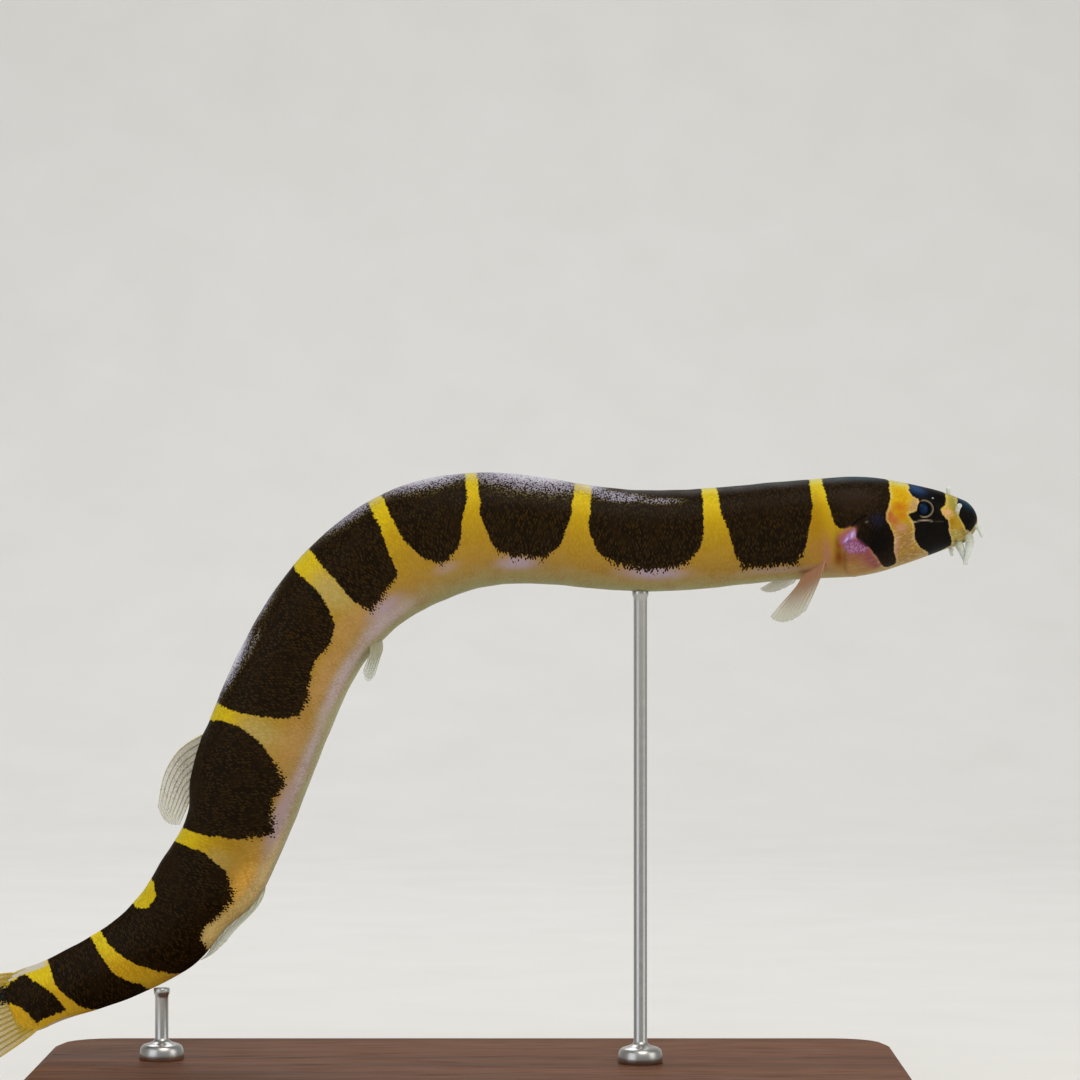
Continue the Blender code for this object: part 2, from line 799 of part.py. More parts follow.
def add_rods(group):
    """Two rods with a collar at the foot, turned, from the base up to the belly."""
    for name, place in ROD_PLACES.items():
        under, top = rod_end(place)
        foot = BASE_HEIGHT + GAP
        profile = (
            (0.0, top),
            (ROD_RADIUS * 0.7, top),
            (ROD_RADIUS, top - ROD_RADIUS * 0.3),
            (ROD_RADIUS, foot + COLLAR_HEIGHT * 1.2),
            (COLLAR_RADIUS * 0.8, foot + COLLAR_HEIGHT),
            (COLLAR_RADIUS, foot + COLLAR_HEIGHT * 0.7),
            (COLLAR_RADIUS, foot),
            (0.0, foot),
        )
        data = bpy.data.meshes.new(f"stand_rod_{name}")
        edges = [(i, i + 1) for i in range(len(profile) - 1)]
        data.from_pydata([(x, 0.0, z) for x, z in profile], edges, [])
        rod = place_object(f"stand_rod_{name}", data, group, polished_steel())
        rod.location = (under.x, under.y, 0.0)
        turn = rod.modifiers.new("turn", "SCREW")
        turn.steps = ROD_SIDES
        turn.render_steps = ROD_SIDES
        turn.use_merge_vertices = True
        turn.merge_threshold = 0.00001
        turn.use_smooth_shade = True


def build():
    """The whole model."""
    clear_scene()
    model = new_collection("kuhli_loach")
    add_head(model)
    add_eyes(model)
    add_barbels(model)
    add_body(model)
    add_midline_fins(model)
    add_caudal_fin(model)
    add_paired_fins(model)
    add_base(model)
    add_rods(model)


build()
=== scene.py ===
# %% [markdown]
# # A kuhli loach on its stand
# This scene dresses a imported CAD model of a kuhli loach, a small eel-shaped fish with dark
# saddles on golden skin. The CAD solids fix where everything is. Here they are replaced by
# one wet skin, layered eyes, soft whiskers and fins thin enough to see through. Lengths are
# worked out in millimetres and turned to metres when a mesh is made.

# %% The frame
import math

import bpy
import numpy as np
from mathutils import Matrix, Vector


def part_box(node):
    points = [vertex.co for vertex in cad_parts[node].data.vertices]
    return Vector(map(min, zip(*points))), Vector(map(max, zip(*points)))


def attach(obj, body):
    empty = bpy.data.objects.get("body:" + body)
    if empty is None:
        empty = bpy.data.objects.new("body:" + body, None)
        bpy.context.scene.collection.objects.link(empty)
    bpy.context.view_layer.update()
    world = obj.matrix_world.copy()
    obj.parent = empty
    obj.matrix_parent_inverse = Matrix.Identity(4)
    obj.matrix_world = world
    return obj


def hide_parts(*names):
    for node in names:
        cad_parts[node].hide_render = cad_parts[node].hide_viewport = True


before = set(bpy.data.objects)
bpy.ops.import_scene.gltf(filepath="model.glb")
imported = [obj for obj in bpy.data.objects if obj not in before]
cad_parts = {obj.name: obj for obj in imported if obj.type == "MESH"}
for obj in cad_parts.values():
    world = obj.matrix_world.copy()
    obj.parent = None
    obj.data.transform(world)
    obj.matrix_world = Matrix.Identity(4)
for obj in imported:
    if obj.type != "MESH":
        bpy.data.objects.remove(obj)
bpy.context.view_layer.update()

MM = 0.001
print("CAD nodes:", len(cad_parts))

# %% [markdown]
# ## Colours and nodes
# Colours are picked on a screen as sRGB hex values, but a renderer adds up light, so each is
# turned to linear once, here. Materials and Geometry Nodes are both made of nodes with
# settings and links, so one small function serves for all of them.

# %% Colours and nodes


def linear(hex_colour):
    """An sRGB hex colour as linear red, green, blue and alpha."""
    parts = [int(hex_colour[i : i + 2], 16) / 255 for i in (1, 3, 5)]
    return (*[c / 12.92 if c <= 0.04045 else ((c + 0.055) / 1.055) ** 2.4 for c in parts], 1.0)


def add(tree, kind, inputs=(), **settings):
    """Add a node, apply its settings, then set or link each input given by name or number."""
    made = tree.nodes.new(kind)
    for setting, value in settings.items():
        setattr(made, setting, value)
    for key, value in dict(inputs).items():
        if isinstance(value, bpy.types.NodeSocket):
            tree.links.new(value, made.inputs[key])
        else:
            made.inputs[key].default_value = value
    return made


def finish_named(name):
    """A new material, its node tree, and the shader in it."""
    finish = bpy.data.materials.new(name)
    finish.use_nodes = True
    return finish, finish.node_tree, finish.node_tree.nodes["Principled BSDF"]


def mixed(tree, factor, first, second):
    """A colour mixed from two, each a hex string or a socket."""
    colours = [linear(c) if isinstance(c, str) else c for c in (first, second)]
    return add(
        tree, "ShaderNodeMix", {0: factor, 6: colours[0], 7: colours[1]}, data_type="RGBA"
    ).outputs[2]


def sums(tree, operation, first, second=0.0, third=0.0, clamp=False):
    """One step of arithmetic."""
    inputs = {0: first, 1: second, 2: third}
    return add(tree, "ShaderNodeMath", inputs, operation=operation, use_clamp=clamp).outputs[0]


def step(tree, value, low, high, start=0.0, end=1.0):
    """A smooth step of a value, from start at low to end at high."""
    inputs = {0: value, 1: low, 2: high, 3: start, 4: end}
    return add(tree, "ShaderNodeMapRange", inputs, interpolation_type="SMOOTHSTEP").outputs[0]


def per_metre(millimetres):
    """The scale of a texture on coordinates in metres whose features are this large."""
    return 1.0 / (millimetres * MM)


print("the screen's middle grey is", round(linear("#808080")[0], 3), "in linear light")

# %% [markdown]
# ## Camera
# The lens is long, because a fish this small is photographed from some distance and its
# outline shows hardly any perspective. The camera is level and looks along +Y, so the arch
# of the body lies flat in the picture. The top of the base just shows at the bottom edge.

# %% Camera
LENS = 150
SENSOR_WIDTH = 36
# Where the camera stands: level with the middle of the picture, and this far in front
PICTURE_X = 0.00467
PICTURE_Z = 0.0388
CAMERA_DISTANCE = 0.3
camera_data = bpy.data.cameras.new("camera")
camera_data.lens = LENS
camera_data.sensor_width = SENSOR_WIDTH
camera_data.clip_start = 0.01
camera = bpy.data.objects.new("camera", camera_data)
camera.location = (PICTURE_X, -CAMERA_DISTANCE, PICTURE_Z)
camera.rotation_euler = (math.pi / 2, 0, 0)
bpy.context.scene.collection.objects.link(camera)
bpy.context.scene.camera = camera
print("camera at", tuple(camera.location))

# %% [markdown]
# ## Floor and light
# A sheet of paper that curves up behind the model is how small things are photographed: it
# has no edge where floor meets wall. Big soft lights close to the model give the long gentle
# highlights that show wet skin.

# %% Floor and light
# The sheet in metres: where it starts, where its wall stands, how round it bends, its size
SWEEP_FRONT = -1.2
SWEEP_BACK = 0.45
SWEEP_BEND = 0.2
SWEEP_HALF_WIDTH = 1.2
SWEEP_HEIGHT = 1.4
SWEEP_STEPS = 24


def paper_sweep():
    """A floor that turns up into a back wall."""
    profile = [(SWEEP_FRONT, 0.0), (SWEEP_BACK - SWEEP_BEND, 0.0)]
    for i in range(1, SWEEP_STEPS + 1):
        turn = math.pi / 2 * i / SWEEP_STEPS
        along = SWEEP_BACK - SWEEP_BEND + SWEEP_BEND * math.sin(turn)
        profile.append((along, SWEEP_BEND * (1 - math.cos(turn))))
    profile.append((SWEEP_BACK, SWEEP_HEIGHT))
    points = [(x, y, z) for x in (-SWEEP_HALF_WIDTH, SWEEP_HALF_WIDTH) for y, z in profile]
    count = len(profile)
    faces = [(i, i + count, i + count + 1, i + 1) for i in range(count - 1)]
    data = bpy.data.meshes.new("paper_sweep")
    data.from_pydata(points, [], faces)
    data.shade_smooth()
    sheet = bpy.data.objects.new("paper_sweep", data)
    bpy.context.scene.collection.objects.link(sheet)
    return sheet


def matt_paper():
    """Background paper: rough, almost white, with the faintest cloudiness of its pulp."""
    finish, tree, shader = finish_named("matt_paper")
    where = add(tree, "ShaderNodeTexCoord").outputs["Object"]
    pulp = add(tree, "ShaderNodeTexNoise", {"Vector": where, "Scale": per_metre(12)})
    colour = mixed(tree, pulp.outputs[0], "#E4E2DC", "#ECEAE5")
    tree.links.new(colour, shader.inputs["Base Color"])
    shader.inputs["Roughness"].default_value = 0.9
    shader.inputs["Specular IOR Level"].default_value = 0.2
    return finish


floor = paper_sweep()
floor.data.materials.append(matt_paper())

# Where each light stands, what it points at, how large it is, its power in watts and colour
LIGHTS = {
    "key": ((0.10, -0.30, 0.42), (0.0, 0.0, 0.035), 0.30, 1.1, "#FFF8EE"),
    "fill": ((-0.40, -0.38, 0.16), (0.0, 0.0, 0.03), 0.40, 0.6, "#F4F7FF"),
    "rim": ((-0.05, 0.22, 0.36), (0.0, 0.0, 0.03), 0.26, 0.6, "#F6F8FF"),
    "snout": ((0.38, -0.16, 0.16), (0.03, 0.0, 0.035), 0.22, 0.25, "#FFFBF4"),
}
for name, (place, target, size, power, colour) in LIGHTS.items():
    lamp = bpy.data.lights.new(name, "AREA")
    lamp.size = size
    lamp.energy = power
    lamp.color = linear(colour)[:3]
    light = bpy.data.objects.new(name, lamp)
    light.location = place
    light.rotation_euler = (Vector(target) - Vector(place)).to_track_quat("-Z", "Y").to_euler()
    bpy.context.scene.collection.objects.link(light)

world = bpy.data.worlds.new("pale_room")
world.use_nodes = True
world.node_tree.nodes["Background"].inputs[0].default_value = linear("#E9ECF0")
world.node_tree.nodes["Background"].inputs[1].default_value = 0.45
bpy.context.scene.world = world
bpy.context.scene.view_settings.view_transform = "Standard"
print("lights:", ", ".join(LIGHTS))

# %% [markdown]
# ## The shape of the fish
# The body is a bent, leaning spine with a section at every place along it. These are the same
# rules and named sizes that the CAD solids were made from, so whatever is placed by a distance
# from the snout and an angle above the flank lands where the solids have it. Each function
# takes one angle or a whole array of them.

# %% Spine and sections
SNOUT = np.array((33.97, 2.2, 39.81))
SNOUT_DIP = -9.0
SPINE_LENGTH = 92
SPINE_STEP = 0.1
# Middle of the bend, length over which it turns, degrees it turns the tail downwards
BENDS = (
    (1.9, 5, 12.6),
    (13.3, 4, 2.1),
    (24.2, 16, -19.8),
    (37.9, 27, 75.4),
    (52.1, 19, 11.0),
    (67.8, 19, -50.6),
)
# Middle of the sway, length over which it happens, shift towards the fish's left
SWAYS = ((2, 15, -3.6), (27, 26, -1.0), (65, 34, 3.6))
HEAD_LEAN = 20
LEANS = ((15, 28, -16), (45, 30, -4))
# Distance, half depth, half width, fullness (2 is an ellipse)
SECTIONS = np.array(
    (
        (0.0, 1.26, 0.98, 2.0),
        (1.3, 1.63, 1.25, 2.1),
        (2.6, 2.08, 1.52, 2.2),
        (4.0, 2.50, 1.76, 2.2),
        (5.4, 2.88, 1.98, 2.2),
        (6.8, 3.21, 2.16, 2.2),
        (8.2, 3.38, 2.26, 2.2),
        (11.0, 3.37, 2.30, 2.15),
        (15.0, 3.33, 2.32, 2.15),
        (20.0, 3.38, 2.36, 2.15),
        (28.0, 3.48, 2.45, 2.15),
        (33.0, 3.80, 2.60, 2.15),
        (37.5, 4.07, 2.70, 2.15),
        (42.5, 3.93, 2.65, 2.15),
        (48.0, 3.82, 2.50, 2.15),
        (53.0, 3.88, 2.40, 2.15),
        (58.5, 3.76, 2.25, 2.1),
        (62.5, 3.48, 2.00, 2.1),
        (66.0, 3.40, 1.75, 2.0),
        (69.0, 3.02, 1.40, 1.8),
        (72.0, 2.64, 1.05, 1.6),
        (75.5, 2.33, 0.80, 1.45),
        (78.5, 2.10, 0.62, 1.4),
        (80.0, 2.20, 0.50, 1.4),
    )
)
SECTION_SLOPES = np.gradient(SECTIONS[:, 1:], SECTIONS[:, 0], axis=0)
NOSE_ROUND = 1.2
# Hollows behind the dorsal fin (1) and over the anal fin (-1): place, reach, depth
TUCKS = ((1, 61.2, 2.4, 0.32), (-1, 66.6, 1.7, 0.62))


def eased(t):
    """A smooth step from 0 to 1 as t goes from 0 to 1."""
    t = np.clip(t, 0.0, 1.0)
    return t * t * (3.0 - 2.0 * t)


def turned(start, rows, distance):
    """A start value and every eased change up to this distance."""
    return start + sum(amount * eased((distance - at) / over + 0.5) for at, over, amount in rows)


def trace_spine():
    """Points of the spine, one each SPINE_STEP, by following its dip and sway."""
    steps = np.arange(round(SPINE_LENGTH / SPINE_STEP))
    here = np.radians(turned(SNOUT_DIP, BENDS, (steps + 0.5) * SPINE_STEP))
    sideways = np.diff(turned(0.0, SWAYS, np.arange(len(steps) + 1) * SPINE_STEP))
    moves = np.stack((-np.cos(here) * SPINE_STEP, sideways, -np.sin(here) * SPINE_STEP), axis=1)
    return SNOUT + np.concatenate((np.zeros((1, 3)), np.cumsum(moves, axis=0)))


SPINE = trace_spine()
SPINE_PLACES = np.arange(len(SPINE)) * SPINE_STEP


def spine_at(distance):
    """The point of the spine at this distance from the snout."""
    return np.stack([np.interp(distance, SPINE_PLACES, line) for line in SPINE.T], axis=-1)


def unit(vector):
    """The same direction with length 1."""
    return vector / np.linalg.norm(vector, axis=-1, keepdims=True)


def times(amount, direction):
    """Directions scaled by amounts, one or many of each."""
    return np.asarray(amount)[..., None] * direction


def axes_at(distance):
    """The directions to the tail, to the fish's left and to its back."""
    here = np.radians(turned(SNOUT_DIP, BENDS, distance))
    ahead = turned(0.0, SWAYS, distance + SPINE_STEP)
    slope = (ahead - turned(0.0, SWAYS, distance - SPINE_STEP)) / (2 * SPINE_STEP)
    tail = unit(np.stack((-np.cos(here), slope, -np.sin(here)), axis=-1))
    upright = np.stack((-np.sin(here), 0.0 * here, np.cos(here)), axis=-1)
    level = unit(np.cross(tail, upright))
    over = np.radians(turned(HEAD_LEAN, LEANS, distance))
    left = times(np.cos(over), level) + times(np.sin(over), upright)
    return tail, left, unit(np.cross(left, tail))


# Past the last section the body thins into the root of the tail fin, and loses these shares
# of its depth and its width
BLADE_START = 79.4
BLADE_END = 81.3
BLADE_DEPTH_LOST = 0.10
BLADE_WIDTH_LOST = 0.82


def section_at(distance):
    """Half depth, half width and fullness, on smooth curves through SECTIONS."""
    places = SECTIONS[:, 0]
    inside = np.clip(distance, places[0], places[-1])
    index = np.minimum(np.searchsorted(places, inside, side="right") - 1, len(places) - 2)
    span = places[index + 1] - places[index]
    t = (inside - places[index]) / span
    depth, width, fullness = np.moveaxis(
        times((1 + 2 * t) * (1 - t) ** 2, SECTIONS[index, 1:])
        + times(span * t * (1 - t) ** 2, SECTION_SLOPES[index])
        + times(t * t * (3 - 2 * t), SECTIONS[index + 1, 1:])
        + times(span * t * t * (t - 1), SECTION_SLOPES[index + 1]),
        -1,
        0,
    )
    rounding = np.sqrt(np.maximum(1.0 - np.maximum(1.0 - distance / NOSE_ROUND, 0.0) ** 2, 0.0))
    blade = eased((distance - BLADE_START) / (BLADE_END - BLADE_START))
    depth = depth * rounding * (1 - BLADE_DEPTH_LOST * blade)
    width = width * rounding * (1 - BLADE_WIDTH_LOST * blade)
    return depth, width, fullness


def skin_points(distance, degrees, side=1):
    """Points of the smooth skin at these distances, this many degrees above the flank."""
    half_depth, half_width, fullness = section_at(distance)
    _, left, back = axes_at(distance)
    angle = np.radians(degrees)
    across = np.sign(np.cos(angle)) * np.abs(np.cos(angle)) ** (2 / fullness)
    upward = np.sign(np.sin(angle)) * np.abs(np.sin(angle)) ** (2 / fullness)
    for facing, middle, spread, depth in TUCKS:
        hollow = depth * np.exp(-(((distance - middle) / spread) ** 2))
        half_depth = half_depth - np.where(upward * facing > 0, hollow, 0.0)
    outward = times(side * across * half_width, left) + times(upward * half_depth, back)
    return spine_at(distance) + outward


def skin_normal(distance, degrees, side=1):
    """The outward directions of the skin there."""
    along = skin_points(distance + 0.1, degrees, side) - skin_points(distance - 0.1, degrees, side)
    around = skin_points(distance, degrees + 2, side) - skin_points(distance, degrees - 2, side)
    normal = unit(np.cross(along, around))
    outward = skin_points(distance, degrees, side) - spine_at(distance)
    return normal * np.sign((normal * outward).sum(axis=-1, keepdims=True))


SIDES = {"left": 1, "right": -1}
print("spine ends at", np.round(SPINE[-1], 2), "mm")

# %% [markdown]
# ## The skin as a grid
# Scaleless to the eye, a loach is one soft surface from lip to tail, so the skin is one mesh:
# rings round the spine, closer together on the head where the small forms are. A subdivision
# surface over a coarse cage could do it too, but a fine grid can be moved point by point by
# formulas, which is how the lips, the folds and the markings are laid on.

# %% The skin as a grid
HEAD_LENGTH = 10.0
HEAD_RINGS = 168
BODY_RINGS = 310
ROUND = 200
head_places = HEAD_LENGTH * ((np.arange(HEAD_RINGS) + 1) / HEAD_RINGS) ** 1.5
body_places = HEAD_LENGTH + (BLADE_END - HEAD_LENGTH) * (np.arange(BODY_RINGS) + 1) / BODY_RINGS
PLACES = np.concatenate((head_places, body_places))
# Counted from the belly, up the left flank, over the back and down the right flank
THETA = -90 + 360 * np.arange(ROUND) / ROUND
RISE_RING = np.where(THETA <= 90, THETA, 180 - THETA)
SIDE_RING = np.where(THETA <= 90, 1, -1)
RISE, PLACE = np.meshgrid(RISE_RING, PLACES)
SIDE = np.broadcast_to(SIDE_RING, RISE.shape)
# The mean of half depth and half width stands for a radius, to turn degrees to millimetres
RADIUS = sum(section_at(PLACES)[:2])[:, None] / 2
DOWN = np.radians(90 - RISE) * RADIUS
base = skin_points(PLACES[:, None], THETA[None, :])
along_grid = np.gradient(base, axis=0)
around_grid = np.roll(base, -1, axis=1) - np.roll(base, 1, axis=1)
normals = np.cross(along_grid, around_grid)
normals /= np.linalg.norm(normals, axis=2, keepdims=True)
print("skin grid:", base.shape[0], "rings of", base.shape[1])

# %% [markdown]
# ## Relief
# The small forms of the head are lines and spots on the skin: the mouth with a lip on each
# side of it, the edge of the gill cover, the slit under the eye where the little spine hides,
# the ring of the eye. For every point of the grid we find the nearest point of such a line,
# and how far behind it we are, and then a sum of small humps and grooves says how far the
# skin moves out or in.

# %% Finding lines and spots
EYE_PLACE = 4.35
EYE_RISE = 33
EYE_RADIUS = 0.55
EYE_PROUD = 0.12
# The eye is a little higher than long, in a ring that is longer than high
EYE_LONG = 0.94
EYE_HIGH = 0.98
RING_LONG = 1.05
RING_HIGH = 0.92
RING_RADIUS = 0.60
RING_SHIFT = 0.05
# The mouth runs from under the snout back to its corners
MOUTH_FRONT = 0.62
MOUTH_CORNER = 1.75
MOUTH_RISE = -30
# The edge of the gill cover bows backwards between its upper and its lower end
GILL_PLACE = 8.75
GILL_BOW = 0.55
GILL_RISES = (10, -72)
SLIT_START = 3.1
SLIT_LENGTH = 2.0
FOLD_PLACE = 10.0
NOSTRIL_PLACE = 2.05
NOSTRIL_RISE = 42
# The rings of the grid that lie on or near the head
NEAR = PLACES < 13.5


def from_line(places, rises):
    """For each point of the grid near the head: its distance from a line drawn on both
    sides, how far behind the line it lies, and how far along the line that is, 0 to 1."""
    distance = np.full(RISE.shape, 99.0)
    behind = np.zeros(RISE.shape)
    fraction = np.zeros(RISE.shape)
    for side in (1, -1):
        points = skin_points(places, rises, side)
        ways = axes_at(places)[0]
        mine = np.where(NEAR[:, None] & (SIDE == side))
        offsets = base[mine][:, None, :] - points[None, :, :]
        lengths = np.linalg.norm(offsets, axis=2)
        nearest = np.argmin(lengths, axis=1)
        rows = np.arange(len(nearest))
        distance[mine] = lengths[rows, nearest]
        behind[mine] = np.einsum("ij,ij->i", offsets[rows, nearest], ways[nearest])
        fraction[mine] = nearest / (len(points) - 1)
    return distance, behind, fraction


def face_axes(place, rise, side):
    """The way out of the skin at a place, and the ways forward and up along the skin."""
    tail, _, back = axes_at(place)
    out = skin_normal(place, rise, side)
    ahead = unit(out * (out @ tail) - tail)
    above = np.cross(out, ahead)
    return out, ahead, above * np.sign(above @ back)


def from_axis(place, rise, long=1.0, high=1.0):
    """For each point of the grid: its distance from a line that leaves the skin straight out
    at this place on its own side, in an oval this long and high, and its angle round it."""
    found = np.full(RISE.shape, 99.0)
    turn = np.zeros(RISE.shape)
    for side in (1, -1):
        mine = np.where(NEAR[:, None] & (SIDE == side) & (abs(PLACE - place) < 3))
        offsets = base[mine] - skin_points(place, rise, side)
        out, ahead, above = face_axes(place, rise, side)
        far = np.where(offsets @ out < -0.9, 9.0, 0.0)
        found[mine] = np.hypot(offsets @ ahead / long, offsets @ above / high) + far
        turn[mine] = np.arctan2(offsets @ above, offsets @ ahead)
    return found, turn


def hump(value, middle, width):
    """A smooth hump of height 1."""
    return np.exp(-(((value - middle) / width) ** 2))


eye_range, eye_turn = from_axis(EYE_PLACE, EYE_RISE, EYE_LONG, EYE_HIGH)
ring_range = from_axis(EYE_PLACE - RING_SHIFT, EYE_RISE, RING_LONG, RING_HIGH)[0]
nostril_range = from_axis(NOSTRIL_PLACE, NOSTRIL_RISE)[0]
turns = np.linspace(0, 1, 70)
mouth = from_line(
    MOUTH_FRONT + (MOUTH_CORNER - MOUTH_FRONT) * turns**2, -90 + (MOUTH_RISE + 90) * turns
)
gill = from_line(
    GILL_PLACE + GILL_BOW * np.sin(math.pi * turns),
    GILL_RISES[0] + (GILL_RISES[1] - GILL_RISES[0]) * turns,
)
arc = np.sin(math.pi * turns)
spine_slit = from_line(SLIT_START + SLIT_LENGTH * turns, 11.2 + 2.4 * arc)
shoulder_fold = from_line(FOLD_PLACE - 0.3 * turns + 0.25 * arc, 6 - 36 * turns)
print("nearest grid point to the eye's axis:", round(float(eye_range.min()), 3), "mm")

# %% [markdown]
# Every small form is a height over the smooth skin, added or taken away where a point lies
# near its line or spot. First come the forms of the face: the mouth, the snout and the eye.

# %% Relief of the face
# How far each form stands out of the skin or goes into it, in millimetres
LIP_HEIGHT = 0.115
LIP_APART = 0.25
MOUTH_DEPTH = 0.17
SOCKET_STEP = 0.15
SOCKET_FLOOR = 0.30
RING_HEIGHT = 0.065
RING_DITCH = 0.03
NOSTRIL_SWELLING = 0.04
SLIT_DEPTH = 0.05
SLIT_LIP = 0.02


def along_line(line, reach, width):
    """Where a line's form is: within reach of it, fading off over width past its two ends."""
    distance, behind, _ = line
    return (distance < reach) * hump(np.maximum(distance - abs(behind), 0), 0, width)


def mouth_relief():
    """Two lips with the cleft of the mouth between them, narrower towards the corners."""
    _, behind, along = mouth
    closing = 1 - 0.55 * along**4
    in_mouth = along_line(mouth, 1.2, 0.16)
    high = LIP_HEIGHT * (1 - 0.45 * along**3) * in_mouth
    moved = high * hump(behind, -LIP_APART * closing, 0.14)
    moved += 0.85 * high * hump(behind, LIP_APART * closing, 0.13)
    return moved - MOUTH_DEPTH * in_mouth * hump(behind, 0, 0.055)


def eye_relief():
    """The socket in two steps, the ring round it, the slit under it and the nostril's foot."""
    moved = -SOCKET_STEP * (1 - eased((eye_range - 0.47) / 0.12))
    moved -= SOCKET_FLOOR * (1 - eased((eye_range - 0.34) / 0.10))
    moved += RING_HEIGHT * hump(ring_range, RING_RADIUS, 0.065)
    moved -= RING_DITCH * hump(ring_range, RING_RADIUS + 0.17, 0.09)
    moved += NOSTRIL_SWELLING * hump(nostril_range, 0.0, 0.28)
    distance, _, along = spine_slit
    fine = np.sin(math.pi * np.clip(along, 0.04, 0.96)) ** 0.5
    moved -= SLIT_DEPTH * hump(distance, 0, 0.04) * fine
    return moved + SLIT_LIP * hump(distance, 0.09, 0.05) * fine


face_relief = mouth_relief() + eye_relief()
print("face: from", round(float(face_relief.min()), 2), "to", round(float(face_relief.max()), 2))

# %% [markdown]
# Behind the face come the raised edge of the gill cover with the opening behind it, the fold
# at the shoulder, the wrinkles of the cheek, and the sheaths of skin that fins grow out of.

# %% Relief of the gills and the body
GILL_RIM = 0.10
GILL_OPENING = 0.15
GILL_DIP = 0.07
FOLD_HEIGHT = 0.07
FOLD_DEPTH = 0.06
WRINKLE_HEIGHT = 0.014
WRINKLE_SPACING = 0.31
THROAT_FOLD = 0.05
MUSCLE_SWELL = 0.014
DORSAL_SHEATH = 0.16
ANAL_SHEATH = 0.10
PECTORAL_LOBE = 0.14
# The whole skin lies this much inside the solids
SKIN_INSET = 0.02


def gill_relief():
    """The rim of the gill cover, the opening behind it, and the fold at the shoulder."""
    _, behind, along = gill
    fade = np.sin(math.pi * np.clip(along * 0.96 + 0.02, 0, 1)) ** 0.45
    here = along_line(gill, 1.5, 0.14) * fade
    moved = here * GILL_RIM * hump(behind, -0.24, 0.20)
    moved -= here * GILL_OPENING * hump(behind, 0.02, 0.065)
    moved -= here * GILL_DIP * hump(behind, 0.28, 0.24)
    _, behind, along = shoulder_fold
    fold = along_line(shoulder_fold, 1.2, 0.2)
    fold = fold * np.sin(math.pi * np.clip(along, 0.05, 0.95)) ** 0.6
    moved += fold * FOLD_HEIGHT * hump(behind, 0.12, 0.16)
    return moved - fold * FOLD_DEPTH * hump(behind, -0.12, 0.10)


def body_relief():
    """Wrinkles, the throat's fold, muscle under the skin, and the sheaths of the fins."""
    # Fine wrinkles on the cheek run along the fish
    cheek = hump(PLACE, 5.7, 0.85) * eased((RISE + 78) / 20) * (1 - eased((RISE - 2) / 14))
    waver = DOWN + 0.12 * np.sin(PLACE * 3.1) + 0.05 * np.sin(PLACE * 8.3 + 1.0)
    moved = WRINKLE_HEIGHT * cheek * np.sin(waver * 2 * math.pi / WRINKLE_SPACING)
    moved += THROAT_FOLD * hump(PLACE, 7.2, 1.8) * hump(RISE, -90, 14)
    # Muscle makes the skin very slightly uneven
    lobes = np.sin(PLACE * 2.3 + 0.05 * abs(RISE)) * np.sin(PLACE * 0.61 + 0.031 * RISE)
    trunk = eased((PLACE - 9) / 4) * (1 - eased((PLACE - 76) / 4))
    moved += MUSCLE_SWELL * lobes * trunk
    dorsal_root = eased((PLACE - 54.8) / 1.2) * (1 - eased((PLACE - 58.8) / 2))
    moved += DORSAL_SHEATH * hump(RISE, 90, 11) * dorsal_root
    moved += ANAL_SHEATH * hump(RISE, -90, 11) * hump(PLACE, 65.0, 2.4)
    return moved + PECTORAL_LOBE * hump(PLACE, 11.1, 0.8) * hump(RISE, -37, 14)


skin_relief = face_relief + gill_relief() + body_relief()
points = base + normals * (skin_relief - SKIN_INSET)[:, :, None]
print("relief from", round(float(skin_relief.min()), 2), "to", round(float(skin_relief.max()), 2))

# %% [markdown]
# ## Markings
# Each dark saddle is an outline drawn on the unrolled flank: millimetres from the snout, and
# degrees above the flank, the same on both sides and carried on over the back. What the
# material needs is the distance to the nearest outline, positive inside. The edge can then be
# roughened by noise in the material, much finer than the mesh is, as pigment cells fray it.

